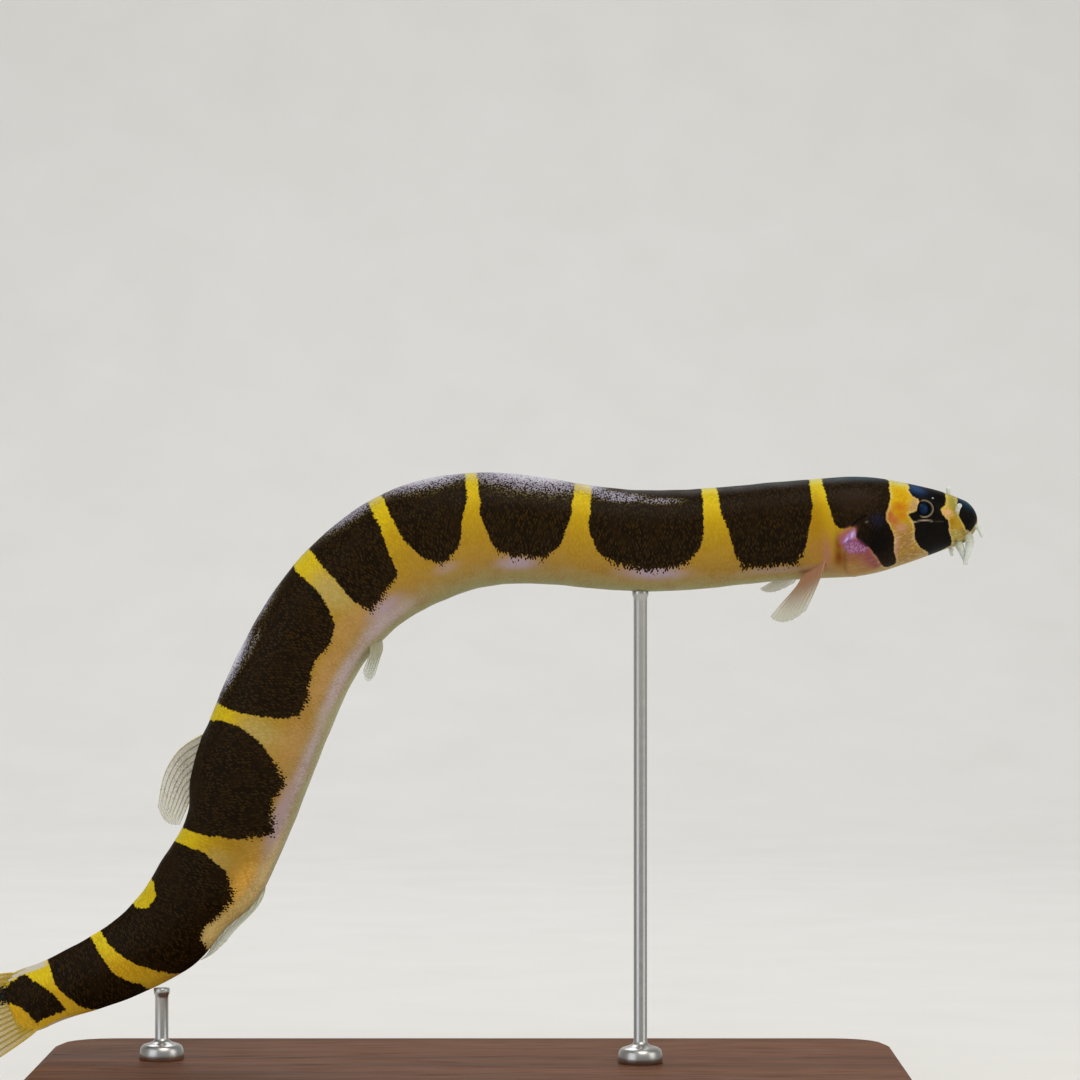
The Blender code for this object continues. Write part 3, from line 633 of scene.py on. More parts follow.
# %% Saddles
# A rise past 90 lies over the crest of the back, one past -90 under the belly, so that the
# outlines of the two sides join there
SADDLES = (
    # Tip of the snout
    ((1.65, 99), (1.95, 54), (1.95, 36), (1.8, 24), (1.55, 14), (1.15, -2), (0.75, -8),
     (0.55, 0), (0.25, 26), (0.2, 72), (0.3, 99)),
    # Bar through the eye, down to the chin
    ((2.5, 99), (2.8, 48), (3.15, 34), (3.1, 26), (2.65, 16), (2.5, -3), (2.05, -26),
     (1.9, -44), (2.4, -53), (3.0, -66), (3.15, -86), (3.8, -40), (4.5, -24), (4.95, -8),
     (5.0, 1), (5.05, 12), (5.3, 18), (5.4, 23), (4.95, 26), (4.75, 34), (4.6, 42),
     (4.65, 50), (5.0, 54), (5.15, 66), (4.8, 99)),
    # Nape and gill cover
    ((6.1, 99), (6.45, 64), (6.5, 47), (6.7, 31), (6.85, 24), (6.85, 16), (6.55, 6),
     (6.35, -2), (6.3, -20), (5.95, -42), (5.95, -50), (6.4, -54), (6.8, -48), (7.0, -41),
     (7.3, -29), (7.6, -20), (7.85, -12), (8.2, -12), (8.45, -6), (8.65, 0), (8.65, 8),
     (8.9, 11), (9.1, 8), (9.5, 8), (9.85, 14), (10.0, 24), (10.15, 34), (10.3, 48),
     (10.4, 68), (10.4, 99)),
    # Along the body
    ((11.3, 99), (11.3, 58), (11.2, 38), (11.4, 20), (11.7, -2), (12.1, -26), (12.6, -36),
     (16.3, -36), (16.7, -8), (16.9, 13), (17.3, 32), (17.3, 54), (17.4, 99)),
    ((18.4, 99), (18.4, 50), (18.6, 9), (18.9, -3), (19.9, -24), (20.6, -30), (22.5, -33),
     (24.4, -27), (25.6, -11), (26.2, 4), (26.4, 20), (26.4, 44), (26.5, 99)),
    ((27.5, 99), (27.6, 43), (27.6, 23), (27.8, 6), (28.1, -9), (28.8, -29), (31.1, -30),
     (32.2, -23), (32.7, -12), (33.1, 2), (33.4, 16), (33.3, 32), (33.3, 99)),
    ((33.9, 99), (34.0, 33), (34.4, 17), (34.7, 4), (34.9, -8), (35.9, -21), (36.7, -23),
     (37.8, -8), (38.3, 8), (38.4, 25), (38.4, 39), (38.4, 99)),
    ((39.1, 99), (39.2, 41), (39.3, 23), (39.5, 9), (39.6, -2), (39.7, -14), (41.4, -25),
     (43.2, -32), (43.4, -5), (43.2, 16), (43.2, 37), (43.1, 61), (43.1, 99)),
    ((44.2, 99), (44.4, 58), (44.4, 19), (44.8, 4), (45.4, -10), (46.7, -20), (47.4, -17),
     (48.3, -15), (49.2, -17), (50.4, -24), (51.8, -28), (52.1, -24), (52.6, -7),
     (53.0, 10), (53.3, 30), (53.6, 99)),
    ((54.9, 99), (54.3, 53), (54.1, 31), (54.3, 12), (54.6, -1), (55.2, -13), (55.6, -24),
     (56.3, -38), (56.8, -41), (57.8, -33), (58.9, -39), (59.8, -48), (60.4, -50),
     (60.6, -32), (61.0, -11), (61.7, 27), (62.3, 99)),
    ((63.6, 99), (63.0, 40), (62.8, 18), (63.3, -10), (63.7, -24), (64.2, -33), (64.8, -41),
     (66.1, -46), (67.4, -42), (67.9, -47), (68.3, -99), (69.9, -99), (70.9, -52),
     (71.5, -35), (72.3, -10), (72.7, 15), (73.1, 38), (73.3, 62), (73.4, 99)),
    ((74.3, 99), (74.1, 42), (73.9, 15), (73.7, -20), (72.6, -52), (72.1, -99), (75.3, -99),
     (76.8, -53), (77.2, -34), (77.5, -16), (77.7, 16), (77.7, 65), (77.7, 99)),
    # Root of the tail fin
    ((79.4, 58), (79.1, 42), (78.6, 26), (78.2, 3), (77.9, -27), (77.7, -52), (79.9, -57),
     (80.3, -31), (80.6, -12), (81.1, 13), (82.2, 30), (82.6, 44), (82.4, 58)),
)
# Yellow spots inside a dark saddle
CLEARINGS = (
    ((67.2, 99), (67.3, 62), (67.8, 45), (69.0, 43), (69.9, 63), (70.0, 99)),
)


def unrolled(places, rises):
    """Distances and degrees as flat millimetres."""
    radii = np.interp(places, PLACES, RADIUS[:, 0])
    return np.stack((places, np.radians(90 - rises) * radii), axis=-1)


def inside_outline(outline, where):
    """Distance in millimetres from an outline, positive inside it."""
    corners = unrolled(*np.array(outline, float).T)
    best = np.full(len(where), np.inf)
    inside = np.zeros(len(where), bool)
    for start, end in zip(corners, np.roll(corners, -1, axis=0)):
        edge = end - start
        offsets = where - start
        t = np.clip(offsets @ edge / (edge @ edge), 0, 1)
        best = np.minimum(best, np.linalg.norm(offsets - t[:, None] * edge, axis=1))
        crosses = (start[1] > where[:, 1]) != (end[1] > where[:, 1])
        rise = end[1] - start[1] if end[1] != start[1] else 1.0
        inside ^= crosses & (where[:, 0] < start[0] + (where[:, 1] - start[1]) * edge[0] / rise)
    return np.where(inside, best, -best)


def inside_any(outlines, where):
    """Distance from the nearest of some outlines, positive inside any of them."""
    return np.max([inside_outline(outline, where) for outline in outlines], axis=0)


# Further from an edge than this, the distance no longer matters
EDGE_RANGE = 3
on_flank = unrolled(PLACE.ravel(), RISE.ravel())
saddle = np.minimum(inside_any(SADDLES, on_flank), -inside_any(CLEARINGS, on_flank))
saddle = np.clip(saddle, -EDGE_RANGE, EDGE_RANGE).reshape(PLACE.shape)
print("dark share of the skin:", round(float((saddle > 0).mean()), 2))

# %% [markdown]
# ## Patches
# Between the saddles the colour changes from place to place: gold behind the eye, rose over
# the gills, peach on the snout. Each patch is a soft spot with a middle and a reach, and its
# strength is stored on the mesh for the material to mix one more colour in.

# %% Patches
# Place, degrees above the flank, reach along and round (mm, degrees), strength
PATCHES = {
    "throat": ("#B09A68", ((8.6, -62, 2.6, 15, 0.9), (4.6, -60, 1.3, 16, 0.8))),
    "snout_band": ("#8D8A48", ((2.0, 54, 0.8, 34, 0.9), (1.9, 88, 1.0, 20, 0.8))),
    "olive_snout": ("#A9A254", ((1.95, -16, 0.6, 16, 0.9), (1.6, -34, 0.6, 18, 0.9))),
    "chin": ("#A6A488", ((1.0, -75, 1.3, 34, 0.9),)),
    "nose_olive": ("#6E7446", ((0.6, -8, 0.6, 16, 0.9), (1.3, -4, 0.22, 9, 0.6))),
    "snout_amber": ("#A47C0C", ((2.36, 11, 0.26, 12, 0.9),)),
    "snout_peach": ("#DDAA78", ((2.70, 30, 0.36, 9, 0.95),)),
    "head_gold": ("#D2A40E", ((5.75, 54, 0.65, 20, 0.95),)),
    "nape_pale": ("#C3C58E", ((5.6, 90, 0.7, 13, 0.8),)),
    "head_orange": ("#C27410", ((5.95, 33, 0.55, 8, 0.95), (5.85, 22, 0.35, 6, 0.8))),
    "eye_peach": ("#B98F6A", ((4.98, 38, 0.30, 10, 0.95), (4.8, 50, 0.24, 7, 0.9),
                              (5.2, 31, 0.25, 5, 0.8))),
    "ear_coral": ("#B6583A", ((6.6, 21, 0.24, 8, 0.9), (6.35, 15, 0.3, 6, 0.8))),
    "cheek_tan": ("#9F7A44", ((5.5, -10, 0.62, 17, 0.95), (5.1, -40, 0.8, 14, 0.8))),
    "cheek_rose": ("#C08A74", ((6.15, -18, 0.18, 22, 0.85), (5.9, 6, 0.4, 5, 0.8))),
    "gill_tan": ("#A67A42", ((8.1, -50, 1.4, 9, 0.8), (9.4, -40, 0.8, 12, 0.8))),
    "gill_brown": ("#8A5430", ((9.0, -25, 0.5, 8, 0.8),)),
    "gill_blush": ("#A06852", ((8.5, -20, 0.8, 13, 0.75), (8.0, -32, 0.7, 13, 0.75),
                               (7.5, -43, 0.5, 9, 0.6))),
    "gill_rose": ("#8A4452", ((8.6, -12, 0.62, 9, 0.9), (8.05, -18, 0.58, 9, 0.9),
                              (7.75, -26, 0.52, 9, 0.9), (7.45, -35, 0.48, 9, 0.9),
                              (7.25, -42, 0.38, 6, 0.8))),
    # Painted shade: a rust-brown darkening in the gill opening and the fold behind it
    "gill_opening_shade": ("#7A3804", ((9.64, -8, 0.24, 11, 0.9), (9.66, -23, 0.34, 13, 0.95))),
    "shoulder_gold": ("#A4760E", ((11.1, 22, 0.7, 34, 0.75),)),
    "shoulder_tan": ("#AA7A38", ((10.9, -14, 0.9, 15, 0.75),)),
    "shoulder_pink": ("#B0785C", ((10.45, -22, 0.30, 20, 0.9), (11.0, -40, 0.8, 9, 0.85))),
    # Painted shadow in the hollow behind the root of the pectoral fin
    "fin_root_shadow": ("#8C5A1C", ((11.9, -44, 0.4, 5, 0.85),)),
    "bend_cream": ("#B8A96C", ((43.9, 12, 1.0, 26, 0.65), (54.0, 6, 1.0, 24, 0.65),
                               (62.9, 2, 0.8, 16, 0.4))),
    "bend_tan": ("#BC935A", ((44.8, -22, 2.0, 12, 0.7), (48.7, -30, 3.4, 11, 0.75),
                             (53.9, -28, 2.0, 16, 0.7), (58.5, -46, 2.6, 9, 0.6))),
    "belly_lilac": ("#C6B4B6", ((43.0, -50, 3.2, 12, 0.9), (48.5, -53, 4.2, 11, 0.9),
                                (55.0, -55, 4.0, 10, 0.8), (59.8, -56, 3.0, 9, 0.7))),
    # Painted light: the rear belly faces down into shade, so its colours are painted brighter here
    "rear_tan": ("#F0B84E", ((64.0, -38, 2.4, 16, 0.9),)),
    "rear_pale": ("#F5D795", ((63.5, -68, 3.4, 18, 0.9),)),
    "anal_glow": ("#FFE08C", ((66.6, -60, 2.5, 22, 0.9),)),
}
# The same over the dark pigment: darker and browner tints of it, and painted sheens
DARK_TINTS_AND_SHEENS = {
    # Painted sheens: blue and teal where the crown, the snout and the nape catch light from above
    "crown_blue": ("#2A4872", ((4.55, 76, 0.6, 15, 0.85),)),
    "snout_teal": ("#22465A", ((1.1, 84, 0.8, 26, 0.75),)),
    "nape_teal": ("#1B3C44", ((8.0, 96, 3.0, 15, 0.8), (14.0, 94, 3.0, 10, 0.5))),
    "gill_black": ("#050203", ((7.25, -8, 1.1, 24, 0.95),)),
    # Painted sheen: a faint violet on the gill cover
    "gill_violet": ("#1A1B32", ((7.35, 17, 0.45, 8, 0.6),)),
    "nape_brown": ("#2E2014", ((8.6, 42, 1.3, 18, 0.8),)),
}


# A power of 2 would give a spot the slopes of a bell, a larger one a flatter middle
PATCH_POWER = 2.6


def patch_strength(spots):
    """The strongest of a patch's soft-edged spots at each point."""
    found = np.zeros(RISE.shape)
    for place, rise, reach, turn, strength in spots:
        q = np.sqrt(((PLACE - place) / reach) ** 2 + ((RISE - rise) / turn) ** 2)
        found = np.maximum(found, strength * np.exp(-(q**PATCH_POWER)))
    return found


skin_marks = {name: patch_strength(spots) for name, (_, spots) in {**PATCHES, **DARK_TINTS_AND_SHEENS}.items()}
print("patches:", ", ".join(skin_marks))

# %% [markdown]
# Some marks have a crisp shape. They are drawn like the saddles, as outlines of place and
# rise, and a line is an outline that turns back on itself. The full colour reaches this far
# out of the outline, or stays this far inside it where that is below 0, and fades from there.
# Each mark also says how much of its colour the fine mottling takes away again.

# %% Drawn marks
# Colour, share that the mottling takes away, reach, length of the fade, outlines
DRAWN = {
    "gill_pink": (
        "#A2605C", 0.15, -0.05, 0.35,
        ((8.75, 7), (9.15, 5), (9.55, -1), (9.4, -7), (9.2, -6), (8.9, 0)),
    ),
    "gill_purple": (
        "#86406A", 0.2, -0.08, 0.30,
        ((9.3, -4), (8.8, -2), (8.5, -5), (8.1, -12), (8.0, -16), (8.8, -16.5), (9.3, -12)),
    ),
    "gill_speckle": (
        "#B083AA", 0.9, -0.05, 0.20,
        ((9.2, -7), (8.75, -6), (8.5, -9), (8.05, -13), (8.1, -17), (8.8, -17), (9.25, -13)),
    ),
    # Lilac of the gill cover's raised rim, partly its own iridescence and partly painted sheen
    "gill_lilac": (
        "#B080C6", 0.35, 0.0, 0.10,
        ((8.75, 6), (8.70, 1), (8.85, -1.5), (9.0, -2), (9.3, -5.5), (9.35, -4.5), (9.1, 1),
         (8.92, 3)),
    ),
    # Painted highlights on that rim
    "gill_shine": (
        "#E2D0F0", 0.2, 0.0, 0.07,
        ((8.80, 4), (8.86, -0.5), (8.9, -0.5)), ((9.1, -1.5), (9.25, -4.5), (9.2, -3.5)),
    ),
    # A pore with a painted glint on its rim
    "gill_pore_glint": ("#8F887A", 0.0, 0.0, 0.06, ((8.06, 13.8), (7.96, 13.6), (8.0, 13.8))),
    "eye_spike": ("#0B0908", 0.0, 0.05, 0.06, ((4.7, 28), (5.0, 25), (5.35, 22), (5.0, 25))),
    # Painted shade in the fold along the upper edge of the gill cover
    "gill_arc": ("#060403", 0.0, 0.03, 0.06, ((8.9, 10), (8.5, 17), (8.0, 22), (8.5, 17))),
    "slit_line": (
        "#B7A488", 0.3, 0.0, 0.05,
        ((5.2, 12.3), (4.7, 13.8), (4.35, 14.4), (3.8, 13.3), (4.35, 14.4), (4.7, 13.8)),
    ),
    "slit_end": ("#40372A", 0.3, 0.0, 0.04, ((3.8, 13.3), (3.0, 12.3), (3.4, 12.8))),
    "crown_glint": ("#C8CCD4", 0.0, 0.0, 0.045, ((3.60, 56), (3.64, 56), (3.62, 58))),
}


# Only points this near to the middle of a mark are measured, in millimetres and degrees
MARK_NEAR = (2.5, 45)


def drawn_strength(reach, fade, *outlines):
    """How strongly a drawn mark colours each point of the skin near it."""
    corners = np.concatenate(outlines)
    middle = (corners.max(axis=0) + corners.min(axis=0)) / 2
    near = (abs(PLACE - middle[0]) < MARK_NEAR[0]) & (abs(RISE - middle[1]) < MARK_NEAR[1])
    inside = inside_any(outlines, unrolled(PLACE[near], RISE[near]))
    found = np.zeros(RISE.shape)
    found[near] = 1 - eased((-inside - reach) / fade)
    return found


for name, (_, _, *shape) in DRAWN.items():
    skin_marks[name] = drawn_strength(*shape)
print("drawn marks:", ", ".join(DRAWN))

# %% [markdown]
# The last marks follow forms that are there already: the eye's ring and socket, with painted
# shade in the socket, the silver cells on the back with a painted sheen where the arch catches
# the light, the bloom and the clear skin below. The place, the rise and the way down from the
# crest are stored too, for patterns that run with the fish.

# %% Marks that follow a form
# The pale ring of the eye is open at the rear
RING_LINE = 0.042
ring_shown = eased((np.cos(eye_turn + 0.15) + 0.60) / 0.45)
skin_marks["eye_ring"] = hump(ring_range, RING_RADIUS, RING_LINE) * ring_shown
# Painted shade: the skin in the socket round the eyeball is painted near black
skin_marks["socket"] = 1 - eased((eye_range - 0.50) / 0.05)
# Silver cells with a painted sheen, thickest on the fish's arch where light from above catches it
SILVER_AND_SHEEN = ((30.2, 88, 5.0, 52, 0.84), (35.8, 90, 3.2, 42, 0.84), (26.6, 80, 1.6, 28, 0.8),
          (24.6, 61, 3.0, 17, 0.66), (21.5, 56, 2.6, 10, 0.56), (40.0, 90, 3.0, 38, 0.72),
          (43.6, 95, 2.5, 22, 0.55), (50.6, 86, 3.0, 33, 0.93), (47.0, 86, 2.2, 30, 0.6),
          (49.2, 56, 2.3, 11, 0.48), (53.2, 86, 1.3, 28, 0.55))
skin_marks["silver"] = patch_strength(SILVER_AND_SHEEN)
# Lilac bloom where the foot of a saddle fades out
BLOOM = ((21.9, -34, 1.9, 10, 0.95), (30.9, -34, 1.4, 9, 0.95), (36.3, -27, 1.0, 6, 0.4),
         (42.0, -34, 1.6, 9, 0.8), (58.8, -45, 2.2, 9, 0.75), (14.0, -40, 2.2, 6, 0.4))
skin_marks["bloom"] = patch_strength(BLOOM)
# Clear skin: the margin of the belly, and the crests above and below the tail's root
skin_marks["clear_margin"] = (
    eased((-58 - RISE) / 22) * (1 - eased((PLACE - 60) / 6)) * eased((PLACE - 9) / 5)
)
skin_marks["crest"] = np.clip(
    eased((PLACE - 77.6) / 0.5) * eased((RISE - 58) / 6)
    + eased((PLACE - 77.0) / 1.2) * eased((-72 - RISE) / 5),
    0,
    1,
)
skin_marks["saddle"] = saddle
skin_marks["rise"] = RISE
skin_marks["place"] = PLACE
skin_marks["down"] = DOWN
print("marks on the skin:", len(skin_marks))

# %% [markdown]
# ## The skin's mesh
# The grid becomes quads with a point at each end. Its UV map unrolls the fish in three
# strips, head first, so that a baked picture of it wastes little room and the head gets the
# most.

# %% The skin's mesh
STRIPS = 3


def link_piece(name, data, finish, replaced=()):
    """Put a finished mesh in the scene as a piece of the fish."""
    data.name = name
    data.materials.clear()
    data.materials.append(finish)
    data.shade_smooth()
    item = bpy.data.objects.new(name, data)
    bpy.context.scene.collection.objects.link(item)
    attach(item, "root")
    if replaced:
        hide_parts(*replaced)
    data.calc_loop_triangles()
    print(f"{name}: {len(data.loop_triangles)} triangles")
    return item


def store(data, name, values):
    """Keep one number for each point of a mesh."""
    attribute = data.attributes.new(name, "FLOAT", "POINT")
    attribute.data.foreach_set("value", np.ascontiguousarray(values, np.float32).ravel())


def store_uv(data, corners):
    """Keep the place of each face corner on the unrolled picture."""
    layer = data.uv_layers.new(name="OFBake")
    layer.data.foreach_set("uv", np.ascontiguousarray(corners, np.float32).ravel())


def skin_mesh():
    """The grid of the skin as a closed mesh with its marks."""
    rings, count = RISE.shape
    k, i = np.meshgrid(np.arange(rings - 1), np.arange(count), indexing="ij")
    j = (i + 1) % count
    quads = np.stack((k * count + i, (k + 1) * count + i, (k + 1) * count + j, k * count + j), -1)
    front = rings * count
    rear = front + 1
    turn = np.arange(count)
    follow = (turn + 1) % count
    nose = [(front, a, b) for a, b in zip(turn, follow)]
    last = (rings - 1) * count
    end = [(rear, last + b, last + a) for a, b in zip(turn, follow)]
    tip = points[-1].mean(axis=0)
    verts = np.concatenate((points.reshape(-1, 3), [base[0].mean(axis=0)], [tip])) * MM
    data = bpy.data.meshes.new("skin")
    data.from_pydata(verts.tolist(), [], quads.reshape(-1, 4).tolist() + nose + end)
    for name, values in skin_marks.items():
        flat = values.ravel()
        store(data, name, np.concatenate((flat, [flat[0], flat[-1]])))

    def up_strip(strip, turn):
        """How high on the picture a point of a ring is, with a margin on each strip."""
        return (strip + 0.02 + 0.96 * turn / count) / STRIPS

    per_strip = rings / STRIPS
    strip = np.minimum((k / per_strip).astype(int), STRIPS - 1)
    corners = []
    for dk, di in ((0, 0), (1, 0), (1, 1), (0, 1)):
        u = 0.01 + 0.97 * (k + dk - strip * per_strip) / (per_strip + 1)
        corners.append(np.stack((u, up_strip(strip, i + di)), -1))
    unrolled_corners = [np.stack(corners, -2).reshape(-1, 2)]
    # The fans of triangles at the two ends lie in the margins beside their rings
    for end_strip, u_tip, u_ring in ((0, 0.005, 0.01), (STRIPS - 1, 0.99, 0.985)):
        for a in range(count):
            first, second = ((a, a + 1) if end_strip == 0 else (a + 1, a))
            fan = [(u_tip, up_strip(end_strip, a + 0.5))]
            fan += [(u_ring, up_strip(end_strip, turned_to)) for turned_to in (first, second)]
            unrolled_corners.append(np.array(fan))
    store_uv(data, np.concatenate(unrolled_corners))
    return data


# %% [markdown]
# ## Wet skin
# A loach's skin is thin and wet: dark pigment cells in saddles, gold and orange ones between
# them, silvery ones dusted over the back under a painted sheen, and clear slime over all of
# it. Light goes a little way into it, so there is subsurface scattering, and the slime is a
# thin coat.
#
# First come the fine patterns that several colours share. A real pigment cell is about
# 0.05 mm wide, a scale 0.1 mm and a wrinkle 0.05 mm. That is too fine to show in the picture,
# so each of them is drawn about two to three and a half times as coarse.

# %% Patterns of the skin
SCALE_SIZE = 0.18
FRAY_SIZE = 0.17
WRINKLE_SIZE = 0.11
DOT_SIZE = 0.11
CLOUD_SIZE = 1.1
# How steeply the two sets of rows of scales slant across the flank
ROW_SLANT = 0.87


def skin_patterns(tree, mark):
    """The fine patterns by name, and trunk, which is 0 on the head and 1 on the body."""
    where = add(tree, "ShaderNodeTexCoord").outputs["Object"]

    def noise(size, detail):
        inputs = {"Vector": where, "Scale": per_metre(size), "Detail": detail}
        return add(tree, "ShaderNodeTexNoise", inputs).outputs[0]

    # Scales lie in two sets of slanting rows on the unrolled flank
    down = sums(tree, "MULTIPLY", mark["down"], 0.5)
    rows = [
        sums(tree, "MULTIPLY_ADD", mark["place"], lean, down) for lean in (ROW_SLANT, -ROW_SLANT)
    ]
    rows = add(tree, "ShaderNodeCombineXYZ", {0: rows[0], 1: rows[1]}).outputs[0]
    inputs = {"Vector": rows, "Scale": 1 / SCALE_SIZE, "Randomness": 0.55}
    scales = add(tree, "ShaderNodeTexVoronoi", inputs).outputs["Distance"]
    # Wrinkles are drawn out along the fish
    along = sums(tree, "MULTIPLY", mark["place"], 0.25)
    folds = sums(tree, "MULTIPLY_ADD", mark["place"], -0.5, mark["down"])
    folds = add(tree, "ShaderNodeCombineXYZ", {0: along, 1: folds}).outputs[0]
    inputs = {"Vector": folds, "Scale": 1 / WRINKLE_SIZE, "Detail": 1.0}
    wrinkles = add(tree, "ShaderNodeTexNoise", inputs).outputs[0]
    return {
        "fray": noise(FRAY_SIZE, 2.0),
        "cloud": noise(CLOUD_SIZE, 3.0),
        "dots": noise(DOT_SIZE, 1.0),
        "scales": scales,
        "wrinkles": wrinkles,
        "trunk": step(tree, mark["place"], 9.0, 12.0),
    }


print("scales drawn", SCALE_SIZE, "mm wide, pigment cells", FRAY_SIZE, "mm")

# %% [markdown]
# The ground colour runs from gold at the back to a clear grey-green at the belly, and turns a
# brighter yellow towards the tail. Over it lie the soft patches, then what is fine: a net of
# scales on the body, flecks and pale wrinkles on the head, and the lilac bloom.

# %% Ground colour
# Height round the body, from belly (0) to back (1), and the colour of the ground there
GROUND = (
    (0.00, "#A8A684"),
    (0.14, "#A8A270"),
    (0.23, "#AA9660"),
    (0.33, "#AA863A"),
    (0.48, "#B08A24"),
    (0.61, "#C09C16"),
    (0.74, "#DABC16"),
    (0.92, "#D6C22A"),
    # Painted sheen: the crest is paler and greyer where light from above catches the back
    (1.00, "#C8C364"),
)


def ground_colour(tree, mark, pattern):
    """The skin without its dark pigment."""
    scales, cloud, trunk = pattern["scales"], pattern["cloud"], pattern["trunk"]
    height = sums(tree, "MULTIPLY_ADD", mark["rise"], 1 / 180, 0.5)
    drift = sums(tree, "MULTIPLY_ADD", cloud, 0.14, -0.07)
    height = sums(tree, "ADD", height, drift, clamp=True)
    ramp = add(tree, "ShaderNodeValToRGB", {0: height})
    stops = ramp.color_ramp.elements
    for position, colour in GROUND[1:-1]:
        stops.new(position)
    for stop, (position, colour) in zip(stops, GROUND):
        stop.position = position
        stop.color = linear(colour)
    yellow = mixed(tree, step(tree, mark["rise"], -10.0, 45.0), "#DCAE1E", "#E6CC20")
    tailward = step(tree, mark["place"], 68.0, 71.5, 0.0, 0.92)
    colour = mixed(tree, tailward, ramp.outputs[0], yellow)
    for name, (paint, _) in PATCHES.items():
        colour = mixed(tree, mark[name], colour, paint)
    margin = mixed(tree, step(tree, mark["place"], 38.0, 50.0), "#A3A67E", "#C2C29C")
    clear = sums(tree, "MULTIPLY", mark["clear_margin"], 0.85)
    colour = mixed(tree, clear, colour, margin)
    # Scales show as a fine net, darker between them. On the head they give way to flecks
    net = step(tree, scales, 0.28, 0.62, 0.0, 0.24)
    net = sums(tree, "MULTIPLY", net, step(tree, cloud, 0.35, 0.65, 0.5, 1.0))
    net = sums(tree, "MULTIPLY", net, step(tree, mark["place"], 42.0, 47.0, 1.0, 1.3))
    colour = mixed(tree, sums(tree, "MULTIPLY", net, trunk), colour, "#7A5216")
    flecks = step(tree, pattern["dots"], 0.50, 0.66, 0.0, 0.35)
    flecks = sums(tree, "SUBTRACT", flecks, trunk, clamp=True)
    colour = mixed(tree, flecks, colour, "#9A5E18")
    pale = step(tree, pattern["wrinkles"], 0.52, 0.66, 0.0, 0.35)
    pale = sums(tree, "SUBTRACT", pale, trunk, clamp=True)
    cheek = sums(tree, "MULTIPLY", step(tree, mark["rise"], 10.0, -4.0),
                 step(tree, mark["place"], 7.6, 6.4, 0.25, 1.0))
    pale = sums(tree, "MULTIPLY", pale, cheek)
    colour = mixed(tree, pale, colour, "#E2CC98")
    bloom = sums(tree, "MULTIPLY", mark["bloom"], step(tree, scales, 0.15, 0.55, 0.45, 0.95))
    return mixed(tree, bloom, colour, "#B19FB0")


print("ground colours:", len(GROUND), "and patches:", len(PATCHES))

# %% [markdown]
# The saddles are almost black, with a brown net of scales in them. What makes them look real
# is the edge: the stored distance is swayed by noise before it is cut off, so the pigment
# frays cell by cell, and at a saddle's foot it breaks up into single scales.

# %% Saddles and drawn marks


def saddles_over(tree, mark, pattern, colour):
    """The saddles and the drawn marks over a colour. Gives the new colour and where it is
    dark."""
    scales, cloud, trunk = pattern["scales"], pattern["cloud"], pattern["trunk"]
    fray = pattern["fray"]
    black = mixed(tree, step(tree, scales, 0.20, 0.60), "#35240A", "#150D02")
    black = mixed(tree, step(tree, cloud, 0.40, 0.70, 0.0, 0.6), black, "#231604")
    black = mixed(tree, step(tree, mark["place"], 5.6, 6.0, 0.85, 0.0), black, "#050404")
    # Tints of the dark pigment, and the painted sheens on the head and the back
    for name, (paint, _) in DARK_TINTS_AND_SHEENS.items():
        black = mixed(tree, mark[name], black, paint)
    # The edge is frayed cell by cell, and scale by scale at the foot
    foot = step(tree, mark["rise"], -8.0, -24.0, 0.0, 1.0)
    foot = sums(tree, "MULTIPLY", foot, step(tree, mark["place"], 70.0, 66.0))
    halftone = sums(tree, "MULTIPLY", sums(tree, "SUBTRACT", 0.36, scales), foot)
    rough = sums(tree, "MULTIPLY", sums(tree, "SUBTRACT", fray, 0.5), 0.36)
    sway = sums(tree, "MULTIPLY_ADD", sums(tree, "SUBTRACT", cloud, 0.5), 0.25, rough)
    sway = sums(tree, "MULTIPLY", sway, step(tree, trunk, 0.0, 1.0, 0.6, 1.0))
    edge = sums(tree, "ADD", mark["saddle"], sway)
    edge = sums(tree, "MULTIPLY_ADD", halftone, trunk, edge)
    # On the head a pale rim runs round each saddle
    rim = sums(tree, "MULTIPLY", step(tree, edge, -0.20, -0.06), step(tree, fray, 0.35, 0.6))
    rim = sums(tree, "MULTIPLY", rim, step(tree, mark["place"], 8.0, 6.6, 0.0, 0.5))
    colour = mixed(tree, rim, colour, "#DEC893")
    dark = step(tree, edge, -0.045, 0.045)
    colour = mixed(tree, dark, colour, black)
    for name, (paint, mottling, *_) in DRAWN.items():
        kept = step(tree, pattern["dots"], 0.42, 0.60, 1 - mottling, 1.0)
        colour = mixed(tree, sums(tree, "MULTIPLY", mark[name], kept), colour, paint)
    return colour, dark


print("saddles:", len(SADDLES), "and drawn marks:", len(DRAWN))

# %% [markdown]
# Silver cells lie over everything grain by grain, and over them lies a painted sheen, the
# light that the wet arch of the back catches. Where the drift is thick they are painted almost
# white, and where it thins out they look golden. The shader at the end is that of wet,
# slightly see-through flesh. Its highlights are kept weak, because under water there is
# hardly any gloss on a fish.

# %% Silver cells and painted sheen, and the finished skin


